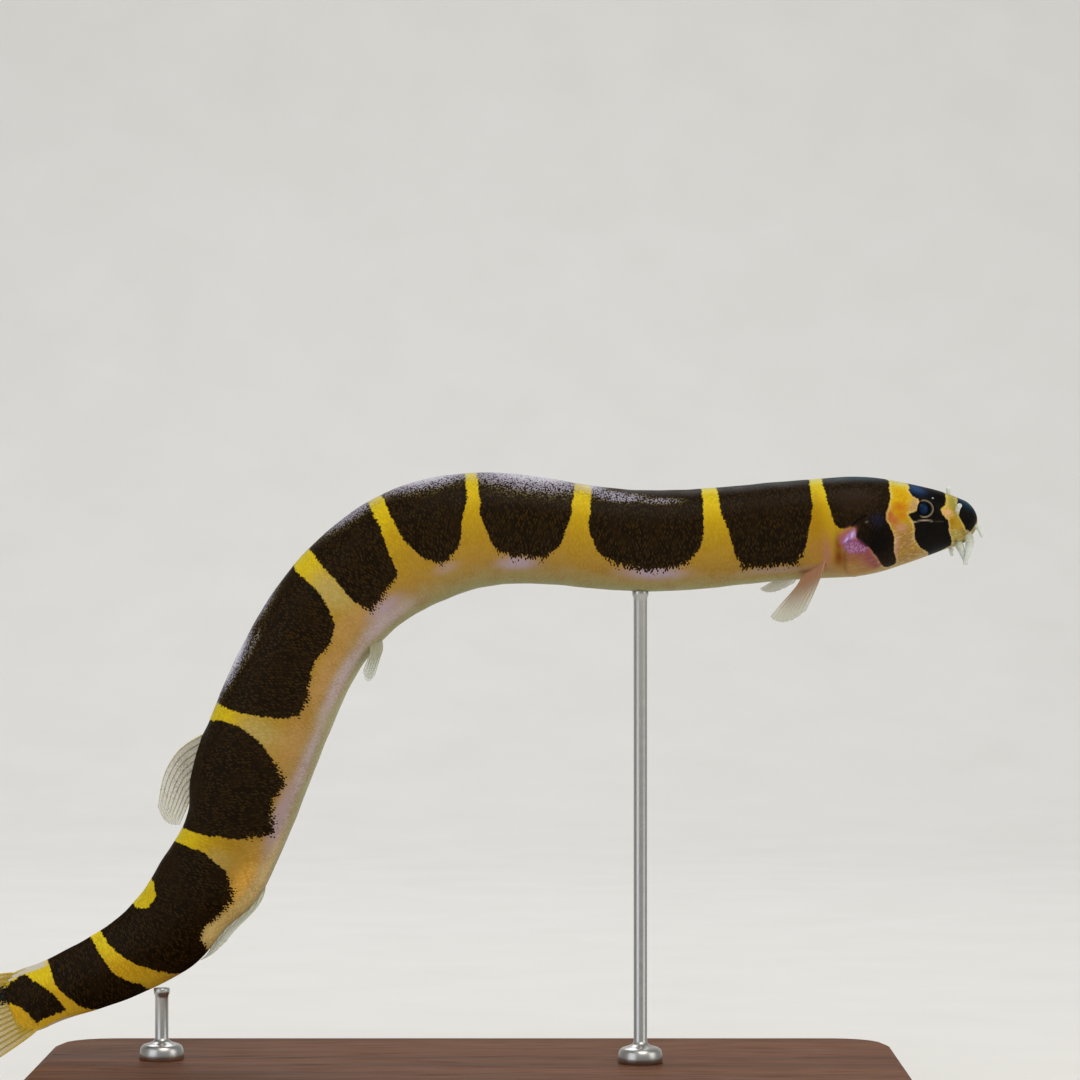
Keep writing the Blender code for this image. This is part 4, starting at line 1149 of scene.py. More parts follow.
def silver_over(tree, mark, pattern, colour, dark):
    """Silver cells with a painted sheen over the back, the clear crests of the tail, the
    ring of the eye, and painted shade in its socket.
    """
    dots = pattern["dots"]
    # Silver cells with a painted sheen: golden where they thin out, near white on the lit arch
    grain = sums(tree, "ADD", mark["silver"], sums(tree, "MULTIPLY_ADD", dots, 2.4, -1.65))
    cells_and_sheen = step(tree, grain, -0.04, 0.26, 0.0, 0.9)
    cells_and_sheen = sums(tree, "MULTIPLY", cells_and_sheen, step(tree, dark, 0.0, 1.0, 0.6, 1.0))
    cells_and_sheen = sums(tree, "MULTIPLY", cells_and_sheen, step(tree, mark["silver"], 0.15, 0.45))
    cells_and_sheen_colour = mixed(tree, step(tree, mark["silver"], 0.35, 0.62), "#6A5E34", "#A19BA8")
    cells_and_sheen_colour = mixed(tree, step(tree, mark["silver"], 0.65, 0.90), cells_and_sheen_colour, "#D6D3DC")
    colour = mixed(tree, cells_and_sheen, colour, cells_and_sheen_colour)
    crest = sums(tree, "MULTIPLY", mark["crest"], 0.9)
    colour = mixed(tree, crest, colour, "#C9C6BD")
    ring = mixed(tree, step(tree, mark["place"], 3.9, 4.6), "#948A70", "#AE9A7C")
    colour = mixed(tree, sums(tree, "MULTIPLY", mark["eye_ring"], 0.9), colour, ring)
    # Painted shade in the socket round the eye
    return mixed(tree, mark["socket"], colour, "#0B0806")


def wet_skin():
    """Thin wet skin with pigment in saddles and patches, and among them painted sheen,
    shade and light.
    """
    finish, tree, shader = finish_named("wet_loach_skin")
    mark = {
        name: add(tree, "ShaderNodeAttribute", attribute_name=name).outputs["Fac"]
        for name in skin_marks
    }
    pattern = skin_patterns(tree, mark)
    colour = ground_colour(tree, mark, pattern)
    colour, dark = saddles_over(tree, mark, pattern, colour)
    colour = silver_over(tree, mark, pattern, colour, dark)
    tree.links.new(colour, shader.inputs["Base Color"])
    gloss = step(tree, pattern["cloud"], 0.3, 0.7, 0.40, 0.52)
    tree.links.new(gloss, shader.inputs["Roughness"])
    shader.inputs["IOR"].default_value = 1.38
    shader.inputs["Specular IOR Level"].default_value = 0.07
    shader.inputs["Subsurface Weight"].default_value = 0.15
    shader.inputs["Subsurface Radius"].default_value = (1.0, 0.5, 0.25)
    shader.inputs["Subsurface Scale"].default_value = 0.3 * MM
    shader.inputs["Coat Weight"].default_value = 0.02
    shader.inputs["Coat Roughness"].default_value = 0.25
    grains = sums(tree, "MULTIPLY_ADD", pattern["dots"], 0.35, pattern["scales"])
    bump = add(
        tree, "ShaderNodeBump", {"Strength": 0.25, "Distance": 0.02 * MM, "Height": grains}
    )
    tree.links.new(bump.outputs[0], shader.inputs["Normal"])
    return finish


FLESH = ("head", "body_shoulder", "body_front", "body_middle", "body_bend", "body_rear",
         "tail_base", "tail_peduncle")
link_piece("skin", skin_mesh(), wet_skin(), FLESH)

# %% [markdown]
# ## Eyes
# A loach's eye is small and high on the head, under a clear window of skin. A large dark
# pupil with a blue gleam nearly fills it, with a thin ring of brown-gold iris. A ball turned
# on a lathe profile would be enough for the shape. It is a little flatter in front than a
# sphere, and its colours depend on the distance from the eye's own axis, kept on the mesh.

# %% Eyes
PUPIL_RADIUS = 0.45
EYE_STEPS = 28
EYE_FLATNESS = 0.10
# The flecks of the iris are drawn about three times as coarse as real ones
IRIS_FLECK_SIZE = 0.08


def turned_form(profile, foot, out, segments):
    """A closed form turned round the line from foot along out. The profile runs from the
    top on the line to the bottom on the line, as distance from it and height above foot."""
    first = unit(np.cross(out, (0.31, 0.87, 0.38)))
    second = np.cross(out, first)
    verts = []
    for radius, height in profile[1:-1]:
        for i in range(segments):
            turn = 2 * math.pi * i / segments
            around = first * math.cos(turn) + second * math.sin(turn)
            verts.append(foot + out * height + around * radius)
    rings = len(profile) - 2
    top = len(verts)
    verts += [foot + out * profile[0][1], foot + out * profile[-1][1]]
    faces = []
    for i in range(segments):
        j = (i + 1) % segments
        faces.append((top, i, j))
        for ring in range(rings - 1):
            a, b = ring * segments, (ring + 1) * segments
            faces.append((a + i, b + i, b + j, a + j))
        faces.append((top + 1, (rings - 1) * segments + j, (rings - 1) * segments + i))
    data = bpy.data.meshes.new("turned")
    data.from_pydata([tuple(v * MM) for v in verts], [], faces)
    ranges = [radius for radius, _ in profile[1:-1] for _ in range(segments)] + [0.0, 0.0]
    heights = [height for _, height in profile[1:-1] for _ in range(segments)]
    store(data, "range", ranges)
    store(data, "height", heights + [profile[0][1], profile[-1][1]])
    return data


def wet_eye():
    """Clear cornea over a dark lens: glossy as glass, blue-black within."""
    finish, tree, shader = finish_named("wet_eye")
    out = add(tree, "ShaderNodeAttribute", attribute_name="range").outputs["Fac"]
    where = add(tree, "ShaderNodeTexCoord").outputs["Object"]
    flecks = add(tree, "ShaderNodeTexNoise", {"Vector": where, "Scale": per_metre(IRIS_FLECK_SIZE)})
    lens = mixed(tree, step(tree, out, 0.10, PUPIL_RADIUS), "#0B2444", "#050E20")
    ring = mixed(tree, flecks.outputs[0], "#20140A", "#0C0806")
    colour = mixed(tree, step(tree, out, PUPIL_RADIUS - 0.02, PUPIL_RADIUS + 0.02), lens, ring)
    tree.links.new(colour, shader.inputs["Base Color"])
    shader.inputs["Roughness"].default_value = 0.30
    shader.inputs["IOR"].default_value = 1.376
    shader.inputs["Specular IOR Level"].default_value = 0.06
    shader.inputs["Coat Weight"].default_value = 0.08
    shader.inputs["Coat Roughness"].default_value = 0.08
    return finish


def stretch(data, middle, ways):
    """Stretch a mesh about a point, by an amount in each of some directions."""
    for vert in data.vertices:
        offset = np.array(vert.co) / MM - middle
        for way, amount in ways:
            offset = offset + way * (offset @ way) * (amount - 1)
        vert.co = (middle + offset) * MM


eye_finish = wet_eye()
for name, side in SIDES.items():
    out, ahead, above = face_axes(EYE_PLACE, EYE_RISE, side)
    middle = skin_points(EYE_PLACE, EYE_RISE, side) - out * (EYE_RADIUS - EYE_PROUD)
    profile = []
    for i in range(EYE_STEPS + 1):
        turn = math.pi * i / EYE_STEPS
        flat = 1 - EYE_FLATNESS * max(math.cos(turn), 0) ** 2
        profile.append((EYE_RADIUS * math.sin(turn), EYE_RADIUS * math.cos(turn) * flat))
    eye = turned_form(profile, middle, out, 48)
    stretch(eye, middle, ((ahead, EYE_LONG), (above, EYE_HIGH)))
    link_piece(f"eye_{name}", eye, eye_finish, (f"eye_{name}",))

# %% [markdown]
# ## Nostrils
# The front nostril of a loach stands up as a short pale tube with a rolled edge. It is turned
# from a profile whose foot flares into the skin, with a real bore down the middle.

# %% Nostrils
# The two soft tubes don't stand quite alike: place and degrees of each one's foot
NOSTRILS = {"left": (1.90, 51), "right": (2.03, 37)}
NOSTRIL_LEAN = -0.3
NOSTRIL_UPRIGHT = 1.2
# Taste buds are 0.03 mm across and drawn three times as coarse
BUD_SIZE = 0.09


def soft_flesh(name, root, tip, root_height, tip_height):
    """Thin, half-clear skin over soft flesh, paler towards its tip."""
    finish, tree, shader = finish_named(name)
    high = add(tree, "ShaderNodeAttribute", attribute_name="height").outputs["Fac"]
    where = add(tree, "ShaderNodeTexCoord").outputs["Object"]
    buds = add(
        tree, "ShaderNodeTexNoise", {"Vector": where, "Scale": per_metre(BUD_SIZE), "Detail": 2.0}
    ).outputs[0]
    colour = mixed(tree, step(tree, high, root_height, tip_height), root, tip)
    colour = mixed(tree, step(tree, buds, 0.56, 0.68, 0.0, 0.5), colour, "#F1EEE2")
    tree.links.new(colour, shader.inputs["Base Color"])
    shader.inputs["Roughness"].default_value = 0.38
    shader.inputs["IOR"].default_value = 1.38
    shader.inputs["Subsurface Weight"].default_value = 0.6
    shader.inputs["Subsurface Radius"].default_value = (1.0, 0.8, 0.6)
    shader.inputs["Subsurface Scale"].default_value = 0.4 * MM
    shader.inputs["Specular IOR Level"].default_value = 0.3
    shader.inputs["Coat Weight"].default_value = 0.1
    shader.inputs["Coat Roughness"].default_value = 0.15
    bump = add(tree, "ShaderNodeBump", {"Strength": 0.3, "Distance": 0.02 * MM, "Height": buds})
    tree.links.new(bump.outputs[0], shader.inputs["Normal"])
    return finish


nostril_finish = soft_flesh("nostril_flesh", "#B9AE74", "#D9DED8", 0.02, 0.26)
NOSTRIL_PROFILE = (
    (0.0, 0.17), (0.045, 0.17), (0.065, 0.26), (0.078, 0.48), (0.092, 0.595), (0.112, 0.635),
    (0.134, 0.64), (0.152, 0.615), (0.158, 0.57), (0.150, 0.48), (0.142, 0.36), (0.144, 0.25),
    (0.152, 0.15), (0.168, 0.07), (0.186, 0.0), (0.195, -0.12), (0.17, -0.22), (0.0, -0.24),
)
for name, side in SIDES.items():
    place, rise = NOSTRILS[name]
    out = skin_normal(place, rise, side)
    tail, _, back = axes_at(place)
    aim = unit(out - tail * NOSTRIL_LEAN + back * NOSTRIL_UPRIGHT)
    foot = skin_points(place, rise, side)
    tube = turned_form(NOSTRIL_PROFILE, foot, aim, 40)
    link_piece(f"nostril_{name}", tube, nostril_finish)

# %% [markdown]
# ## Barbels
# Whiskers of soft flesh hang round the mouth, thick at the root and blunt at the tip. They
# follow a path and taper by a rule, so Geometry Nodes make them: a path of a few points is
# smoothed, given a radius from root to tip, and swept with a circle.

# %% Barbels
# Root's distance and degrees, length, radius at the root, then how far the tip lies forward,
# outwards and down
BARBELS = {
    "rostral_inner": (0.32, 8, 0.8, 0.19, (0.50, 0.18, 0.67)),
    "rostral_outer": (0.78, -24, 1.85, 0.36, (-0.06, 0.27, 0.92)),
    "maxillary": (1.34, -43, 1.52, 0.33, (0.74, 0.15, 1.18)),
    "mental": (1.70, -68, 0.45, 0.13, (0.4, 0.15, 1.0)),
}
BARBEL_TIP = 0.11
# How far off the skin a barbel's path bends over, and how far back from there it starts
BARBEL_OUT = 0.15
BARBEL_SUNK = 0.38


def new_tree(name, inputs):
    """A Geometry Nodes tree with named inputs. Gives the tree, its input and output node."""
    tree = bpy.data.node_groups.new(name, "GeometryNodeTree")
    for label, kind in (("Geometry", "NodeSocketGeometry"), *inputs):
        tree.interface.new_socket(label, in_out="INPUT", socket_type=kind)
    tree.interface.new_socket("Geometry", in_out="OUTPUT", socket_type="NodeSocketGeometry")
    return tree, add(tree, "NodeGroupInput"), add(tree, "NodeGroupOutput")


def grown(name, tree, data, values):
    """Run a mesh through a Geometry Nodes tree and give the plain mesh that comes out."""
    guide = bpy.data.objects.new(name, data)
    bpy.context.scene.collection.objects.link(guide)
    change = guide.modifiers.new(name, "NODES")
    change.node_group = tree
    for item in tree.interface.items_tree:
        if item.in_out == "INPUT" and item.name in values:
            change[item.identifier] = values[item.name]
    graph = bpy.context.evaluated_depsgraph_get()
    result = bpy.data.meshes.new_from_object(guide.evaluated_get(graph))
    guide.modifiers.remove(change)
    bpy.data.objects.remove(guide, do_unlink=True)
    return result


def barbel_tree():
    """Path to tapered whisker with a blunt tip."""
    tree, given, result = new_tree(
        "grow_barbel",
        (
            ("Root Radius", "NodeSocketFloat"),
            ("Tip Radius", "NodeSocketFloat"),
            ("Steps", "NodeSocketInt"),
            ("Sides", "NodeSocketInt"),
            ("Seed", "NodeSocketInt"),
            ("Flesh", "NodeSocketMaterial"),
        ),
    )
    take = given.outputs
    path = add(tree, "GeometryNodeMeshToCurve", {0: take["Geometry"]}).outputs[0]
    smooth = add(tree, "GeometryNodeCurveSplineType", {0: path}, spline_type="NURBS").outputs[0]
    path = add(tree, "GeometryNodeResampleCurve", {0: smooth, "Count": take["Steps"]}).outputs[0]
    factor = add(tree, "GeometryNodeSplineParameter").outputs["Factor"]
    inputs = {0: factor, 3: take["Root Radius"], 4: take["Tip Radius"]}
    radius = add(tree, "ShaderNodeMapRange", inputs).outputs[0]
    # The last part closes like the end of a finger
    into = add(tree, "ShaderNodeMapRange", {0: factor, 1: 0.90, 2: 1.0}).outputs[0]
    square = sums(tree, "MULTIPLY", into, into)
    blunt = sums(tree, "SQRT", sums(tree, "SUBTRACT", 1.0005, square))
    radius = sums(tree, "MULTIPLY", radius, blunt)
    inputs = {2: 0.93, 3: 1.07, "Seed": take["Seed"]}
    uneven = add(tree, "FunctionNodeRandomValue", inputs).outputs[1]
    radius = sums(tree, "MULTIPLY", radius, uneven)
    kept = {0: path, 2: "height", 3: factor}
    path = add(tree, "GeometryNodeStoreNamedAttribute", kept).outputs[0]
    ring = add(tree, "GeometryNodeCurvePrimitiveCircle", {"Resolution": take["Sides"], "Radius": 1.0})
    inputs = {0: path, 1: ring.outputs[0], "Scale": radius, "Fill Caps": True}
    body = add(tree, "GeometryNodeCurveToMesh", inputs).outputs[0]
    body = add(tree, "GeometryNodeRealizeInstances", {0: body}).outputs[0]
    body = add(tree, "GeometryNodeSetMaterial", {0: body, 2: take["Flesh"]}).outputs[0]
    tree.links.new(body, result.inputs[0])
    return tree


barbel_finish = soft_flesh("barbel_flesh", "#A9AC8C", "#D2DAD4", 0.0, 0.5)
grow_barbel = barbel_tree()
for seed, (kind, (place, rise, length, thick, aim)) in enumerate(BARBELS.items()):
    for name, side in SIDES.items():
        tail, left, back = axes_at(place)
        out = skin_normal(place, rise, side)
        forward, outward, down = aim
        tip_way = unit(left * side * outward - tail * forward - back * down)
        root = skin_points(place, rise, side) + out * BARBEL_OUT
        path = [root - out * BARBEL_SUNK]
        for t in (0.0, 0.2, 0.4, 0.6, 0.8, 1.0):
            path.append(root + unit(out * 0.25 * (1 - t) + tip_way * (0.6 + t)) * length * t)
        data = bpy.data.meshes.new("path")
        edges = [(i, i + 1) for i in range(len(path) - 1)]
        data.from_pydata([tuple(p * MM) for p in path], edges, [])
        values = {
            "Root Radius": thick * MM,
            "Tip Radius": BARBEL_TIP * MM,
            "Steps": 44,
            "Sides": 20,
            "Seed": 11 + seed,
            "Flesh": barbel_finish,
        }
        whisker = grown("barbel", grow_barbel, data, values)
        label = f"barbel_{kind}_{name}"
        link_piece(label, whisker, barbel_finish, (label,))

# %% [markdown]
# ## Fins
# A fin is a film of clear skin over a fan of bony rays that fork towards the edge. The film
# is a thin closed sheet on the surface that the CAD fin has, and its root runs on into the
# body, so no gap shows. The rays are lines on the same surface. Geometry Nodes turn them
# into fine jointed rods.

# %% Surfaces of the fins
# Each ray of the midline fins runs from its root over a middle point to its tip, as place
# and height off the body, first for the foremost ray
DORSAL_FIRST = ((55.35, 0.0), (57.9, 2.3), (61.7, 1.75))
DORSAL_LAST = ((59.6, 0.0), (60.9, 0.05), (62.2, 0.0))
ANAL_FIRST = ((62.7, 0.0), (64.9, 0.5), (67.3, 0.58))
ANAL_LAST = ((67.8, 0.0), (68.3, 0.1), (69.0, 0.02))
CAUDAL_START = 79.3
CAUDAL_ROOT = 80.15
CAUDAL_LENGTH = 8.5
# How much shorter the middle ray and the outermost rays are
CAUDAL_NOTCH = 0.45
CAUDAL_CORNER = 0.9
# Half the tail fin's height at its root, and how much that grows to the edge
CAUDAL_HALF = 2.02
CAUDAL_SPREAD = 1.68
# The paired fins: both ends of the root, length, how far they fan out, how much shorter the
# rear edge is, and where they point: towards the tail, outwards and down
PECTORAL = (((10.5, -26), (11.7, -48)), 4.6, 1.9, 0.3)
PECTORAL_AIM = {1: (0.70, 0.25, 0.70), -1: (0.60, 0.30, 0.75)}
PELVIC = (((43.9, -76), (44.9, -62)), 3.0, 0.4, 0.4)
PELVIC_AIM = (0.91, 0.20, 0.40)
# The way that a paired fin fans out at its edge: towards the tail, outwards and up
PAIRED_TWIST = (0.85, 0.50, 0.10)
SUNK = 0.28


def midline_surface(first, last, bulge, slant, degrees, off):
    """The surface of a fin on the back or the belly, off the skin by this much further out."""

    def surface(across, out):
        weights = ((1 - out) ** 2, 2 * out * (1 - out), out * out)
        place, height = 0.0, 0.0
        for start, end, weight in zip(first, last, weights):
            place = place + (start[0] + (end[0] - start[0]) * across) * weight
            height = height + (start[1] + (end[1] - start[1]) * across) * weight
        place = place + bulge * out * np.sin(math.pi * across)
        _, left, back = axes_at(place)
        outward = back if degrees > 0 else -back
        lift = height + off * eased(out) - SUNK * (1 - eased(out / 0.35))
        aside = times(height * slant * out, left)
        return skin_points(place, degrees) + times(lift, outward) + aside

    return surface


def caudal_surface(across, out):
    """The surface of the tail fin."""
    height = 1.0 - 2.0 * across
    reach = CAUDAL_LENGTH - CAUDAL_NOTCH * (1.0 - height * height) - CAUDAL_CORNER * height**4
    end = CAUDAL_ROOT + reach
    place = CAUDAL_START + (end - CAUDAL_START) * out
    spread = np.maximum(place - CAUDAL_ROOT, 0.0) / reach
    half = CAUDAL_HALF + CAUDAL_SPREAD * spread**0.8
    return spine_at(place) + times(half * height, axes_at(place)[2])


def paired_surface(form, aims, side):
    """The surface of a pectoral or pelvic fin, a fan that leaves the skin at a slant."""
    ((start, first_rise), (end, last_rise)), length, spread, shorter = form
    axes = axes_at(start)

    def way(to_tail, outward, up):
        return unit(axes[0] * to_tail + axes[1] * (side * outward) + axes[2] * up)

    aim = way(aims[0], aims[1], -aims[2])
    twist = way(*PAIRED_TWIST)

    def surface(across, out):
        place = start + (end - start) * across
        rise = first_rise + (last_rise - first_rise) * across
        off = 0.35 * eased(out / 0.3) - 0.15
        root = skin_points(place, rise, side) + times(off, skin_normal(place, rise, side))
        fan = unit(times(1 - out, axes[0]) + times(out, twist))
        reach = length * (1 - shorter * across**2 - 0.12 * (1 - across) ** 6)
        return root + times(reach * out, aim) + times(spread * (across - 0.5) * out, fan)

    return surface


print("the tail fin's middle ray ends at", np.round(caudal_surface(0.5, 1.0), 2), "mm")

# %% [markdown]
# A film between two rays hangs a little hollow and its free edge is scalloped, with each ray
# reaching out furthest. Both come from one wave across the fin, so that film and rays agree.

# %% Film and rays
FILM_EDGE = 0.02
# The share of a ray's length that the film reaches between rays, and its thickness there
SCALLOP = 0.985
HOLLOW = 0.6


def film(name, surface, rays, columns, rows, film_root):
    """A thin closed sheet on the surface, with its marks for the material."""
    out, across = np.meshgrid(np.arange(rows + 1) / rows, np.arange(columns) / (columns - 1))
    on_ray = 0.5 + 0.5 * np.cos(2 * math.pi * across * (rays - 1))
    out = out * (SCALLOP + (1 - SCALLOP) * on_ray)
    span = surface(np.minimum(across + 0.01, 1), out) - surface(np.maximum(across - 0.01, 0), out)
    ray = surface(across, np.minimum(out + 0.01, 1)) - surface(across, np.maximum(out - 0.01, 0))
    half = FILM_EDGE + (film_root - FILM_EDGE) * (1 - eased(out)) ** 2
    half = half * (HOLLOW + (1 - HOLLOW) * on_ray)
    thickness = times(half, unit(np.cross(span, ray)))
    middle = surface(across, out)
    verts = np.concatenate([(middle + thickness * face).reshape(-1, 3) for face in (1, -1)])
    line = rows + 1
    block = columns * line
    faces, corners = [], []

    def corner(vert):
        side, rest = divmod(vert, block)
        i, j = divmod(rest, line)
        return (0.01 + 0.48 * i / (columns - 1) + 0.5 * side, 0.01 + 0.98 * j / rows)

    for i in range(columns - 1):
        for j in range(rows):
            a, b, c, d = i * line + j, (i + 1) * line + j, (i + 1) * line + j + 1, i * line + j + 1
            faces += [(a, b, c, d), (d + block, c + block, b + block, a + block)]
    rim = [i * line for i in range(columns)]
    rim += [(columns - 1) * line + j for j in range(1, rows + 1)]
    rim += [i * line + rows for i in range(columns - 2, -1, -1)]
    rim += [j for j in range(rows - 1, 0, -1)]
    for a, b in zip(rim, rim[1:] + rim[:1]):
        faces.append((b, a, a + block, b + block))
    for face in faces:
        corners += [corner(vert) for vert in face]
    data = bpy.data.meshes.new(name)
    data.from_pydata((verts * MM).tolist(), [], faces)
    for label, values in (("out", out), ("across", across), ("on_ray", on_ray)):
        store(data, label, np.tile(values.ravel(), 2))
    store_uv(data, np.array(corners))
    return data


def ray_lines(surface, rays, fork, steps, root, tip):
    """The rays as lines on the surface. All but the outermost fork, at this share of the way
    out, and each has a thickness at every point. Gives a mesh of edges."""
    out = np.arange(steps + 1) / steps * 0.995
    part = eased((out - fork) / (1 - fork))
    verts, edges, marks = [], [], []
    for ray in range(rays):
        branches = (-1, 1) if 0 < ray < rays - 1 else (0,)
        for branch in branches:
            across = (ray + branch * 0.27 * part) / (rays - 1)
            radius = (root + (tip - root) * out) * (1 - 0.28 * part * abs(branch))
            edges += [(len(verts) + k, len(verts) + k + 1) for k in range(steps)]
            verts += (surface(across, out) * MM).tolist()
            marks.append((radius * MM, out, across))
    data = bpy.data.meshes.new("rays")
    data.from_pydata(verts, edges, [])
    for label, values in zip(("thick", "out", "across"), np.concatenate(marks, axis=1)):
        store(data, label, values)
    return data


def ray_tree():
    """Lines to jointed rods: a slight waist at every joint."""
    tree, given, result = new_tree(
        "grow_rays",
        (
            ("Joint Spacing", "NodeSocketFloat"),
            ("Joint Depth", "NodeSocketFloat"),
            ("Sides", "NodeSocketInt"),
            ("Unevenness", "NodeSocketFloat"),
            ("Seed", "NodeSocketInt"),
            ("Ray", "NodeSocketMaterial"),
        ),
    )
    take = given.outputs
    lines = add(tree, "GeometryNodeMeshToCurve", {0: take["Geometry"]}).outputs[0]
    thick = add(tree, "GeometryNodeInputNamedAttribute", {0: "thick"}, data_type="FLOAT").outputs[0]
    length = add(tree, "GeometryNodeSplineParameter").outputs["Length"]
    phase = sums(tree, "DIVIDE", length, take["Joint Spacing"])
    wave = sums(tree, "PINGPONG", phase, 0.5)
    peak = sums(tree, "POWER", sums(tree, "MULTIPLY", wave, 2.0), 6.0)
    waist = sums(tree, "MULTIPLY", peak, take["Joint Depth"])
    radius = sums(tree, "MULTIPLY", thick, sums(tree, "SUBTRACT", 1.0, waist))
    low = sums(tree, "SUBTRACT", 1.0, take["Unevenness"])
    high = sums(tree, "ADD", 1.0, take["Unevenness"])
    uneven = add(tree, "FunctionNodeRandomValue", {2: low, 3: high, "Seed": take["Seed"]}).outputs[1]
    radius = sums(tree, "MULTIPLY", radius, uneven)
    ring = add(tree, "GeometryNodeCurvePrimitiveCircle", {"Resolution": take["Sides"], "Radius": 1.0})
    inputs = {0: lines, 1: ring.outputs[0], "Scale": radius, "Fill Caps": True}
    rods = add(tree, "GeometryNodeCurveToMesh", inputs).outputs[0]
    rods = add(tree, "GeometryNodeRealizeInstances", {0: rods}).outputs[0]
    rods = add(tree, "GeometryNodeSetMaterial", {0: rods, 2: take["Ray"]}).outputs[0]
    tree.links.new(rods, result.inputs[0])
    return tree


grow_rays = ray_tree()
print("rays grow from", len(grow_rays.nodes), "nodes")

# %% [markdown]
# ## Fin materials
# The film is clear collagen with a tint, so it is part see-through by its alpha, more so
# between the rays and towards the edge. Rays are the same stuff, thicker and paler, and
# carry rows of tiny dark pigment cells.

# %% Fin materials
# Pigment cells on the rays are 0.05 mm wide and drawn about three times as coarse
SPECK_SIZE = 0.14
SPECK_CLOUD_SIZE = 0.9


def fin_finish(name, tint, edge_tint, fleck, flecks, clearness, dark_root=None):
    """Film or ray: a tint at the root and one at the edge, rows of dark flecks on its front
    half, and how much of the light goes straight through at the root and at the edge."""
    finish, tree, shader = finish_named(name)
    out = add(tree, "ShaderNodeAttribute", attribute_name="out").outputs["Fac"]
    where = add(tree, "ShaderNodeTexCoord").outputs["Object"]
    specks = add(
        tree, "ShaderNodeTexNoise", {"Vector": where, "Scale": per_metre(SPECK_SIZE), "Detail": 2.0}
    ).outputs[0]
    inputs = {"Vector": where, "Scale": per_metre(SPECK_CLOUD_SIZE)}
    cloud = add(tree, "ShaderNodeTexNoise", inputs).outputs[0]
    colour = mixed(tree, step(tree, out, 0.1, 0.95), tint, edge_tint)
    across = add(tree, "ShaderNodeAttribute", attribute_name="across").outputs["Fac"]
    bands = step(tree, cloud, 0.42, 0.62, 0.35, 1.0)
    bands = sums(tree, "MULTIPLY", bands, step(tree, across, 0.45, 0.75, 1.0, 0.25))
    spots = sums(tree, "MULTIPLY", step(tree, specks, 0.52, 0.60), bands)
    spots = sums(tree, "MULTIPLY", spots, flecks)
    colour = mixed(tree, spots, colour, fleck)
    opaque = step(tree, out, 0.0, 0.9, 1 - clearness[0], 1 - clearness[1])
    opaque = sums(tree, "ADD", opaque, sums(tree, "MULTIPLY", spots, 0.5), clamp=True)
    if dark_root:
        dark = add(tree, "ShaderNodeAttribute", attribute_name="dark").outputs["Fac"]
        # Streaks of pigment run out along the rays
        streaks = add(tree, "ShaderNodeCombineXYZ", {0: across, 1: sums(tree, "MULTIPLY", out, 0.06)})
        streaks = add(tree, "ShaderNodeTexNoise", {"Vector": streaks.outputs[0], "Scale": 70.0})
        rough = sums(tree, "SUBTRACT", sums(tree, "ADD", specks, streaks.outputs[0]), 1.0)
        dark = step(tree, sums(tree, "MULTIPLY_ADD", rough, 1.1, dark), -0.06, 0.06)
        colour = mixed(tree, dark, colour, dark_root)
        opaque = sums(tree, "MAXIMUM", opaque, dark)
    tree.links.new(colour, shader.inputs["Base Color"])
    tree.links.new(opaque, shader.inputs["Alpha"])
    shader.inputs["Roughness"].default_value = 0.4
    shader.inputs["IOR"].default_value = 1.38
    shader.inputs["Specular IOR Level"].default_value = 0.25
    shader.inputs["Subsurface Weight"].default_value = 0.3
    shader.inputs["Subsurface Radius"].default_value = (1.0, 0.8, 0.6)
    shader.inputs["Subsurface Scale"].default_value = 0.2 * MM
    bump = add(tree, "ShaderNodeBump", {"Strength": 0.2, "Distance": 0.02 * MM, "Height": specks})
    tree.links.new(bump.outputs[0], shader.inputs["Normal"])
    return finish


print("flecks on the rays drawn", SPECK_SIZE, "mm wide")

# %% [markdown]
# ## Making the fins
# The black at the root of the tail fin belongs to the last saddle, so the fin works out the
# same saddle distance for its own points and stores it too.

# %% Making the fins
dorsal_surface = midline_surface(
    DORSAL_FIRST, DORSAL_LAST, bulge=0.5, slant=0.25, degrees=90, off=0.25
)
anal_surface = midline_surface(
    ANAL_FIRST, ANAL_LAST, bulge=0.2, slant=0.15, degrees=-90, off=0.02
)
# Film colours, ray colours, flecks' colour and strength, clearness of the film and of the rays
DORSAL_LOOK = (("#9C9478", "#BDB9A4"), ("#D6C98C", "#DAD3AE"), "#2A2416", 0.65,
               (0.52, 0.80), (0.0, 0.25))
ANAL_LOOK = (("#CDD0A8", "#D6DBC0"), ("#D2D4B0", "#DCE0C6"), "#8A8A66", 0.10,
             (0.45, 0.75), (0.3, 0.5))
CAUDAL_LOOK = (("#C2A428", "#BDB88E"), ("#CBAE3C", "#CFC898"), "#4A3C1E", 0.5,
               (0.35, 0.66), (0.0, 0.25))
PECTORAL_LOOK = (("#A87A58", "#B5B59A"), ("#B08864", "#C2C0A4"), "#7A5A34", 0.10,
                 (0.12, 0.66), (0.1, 0.4))
PELVIC_LOOK = (("#B8B394", "#BCC4AE"), ("#BEBAA0", "#C6CCB6"), "#6A6040", 0.05,
               (0.5, 0.85), (0.4, 0.7))
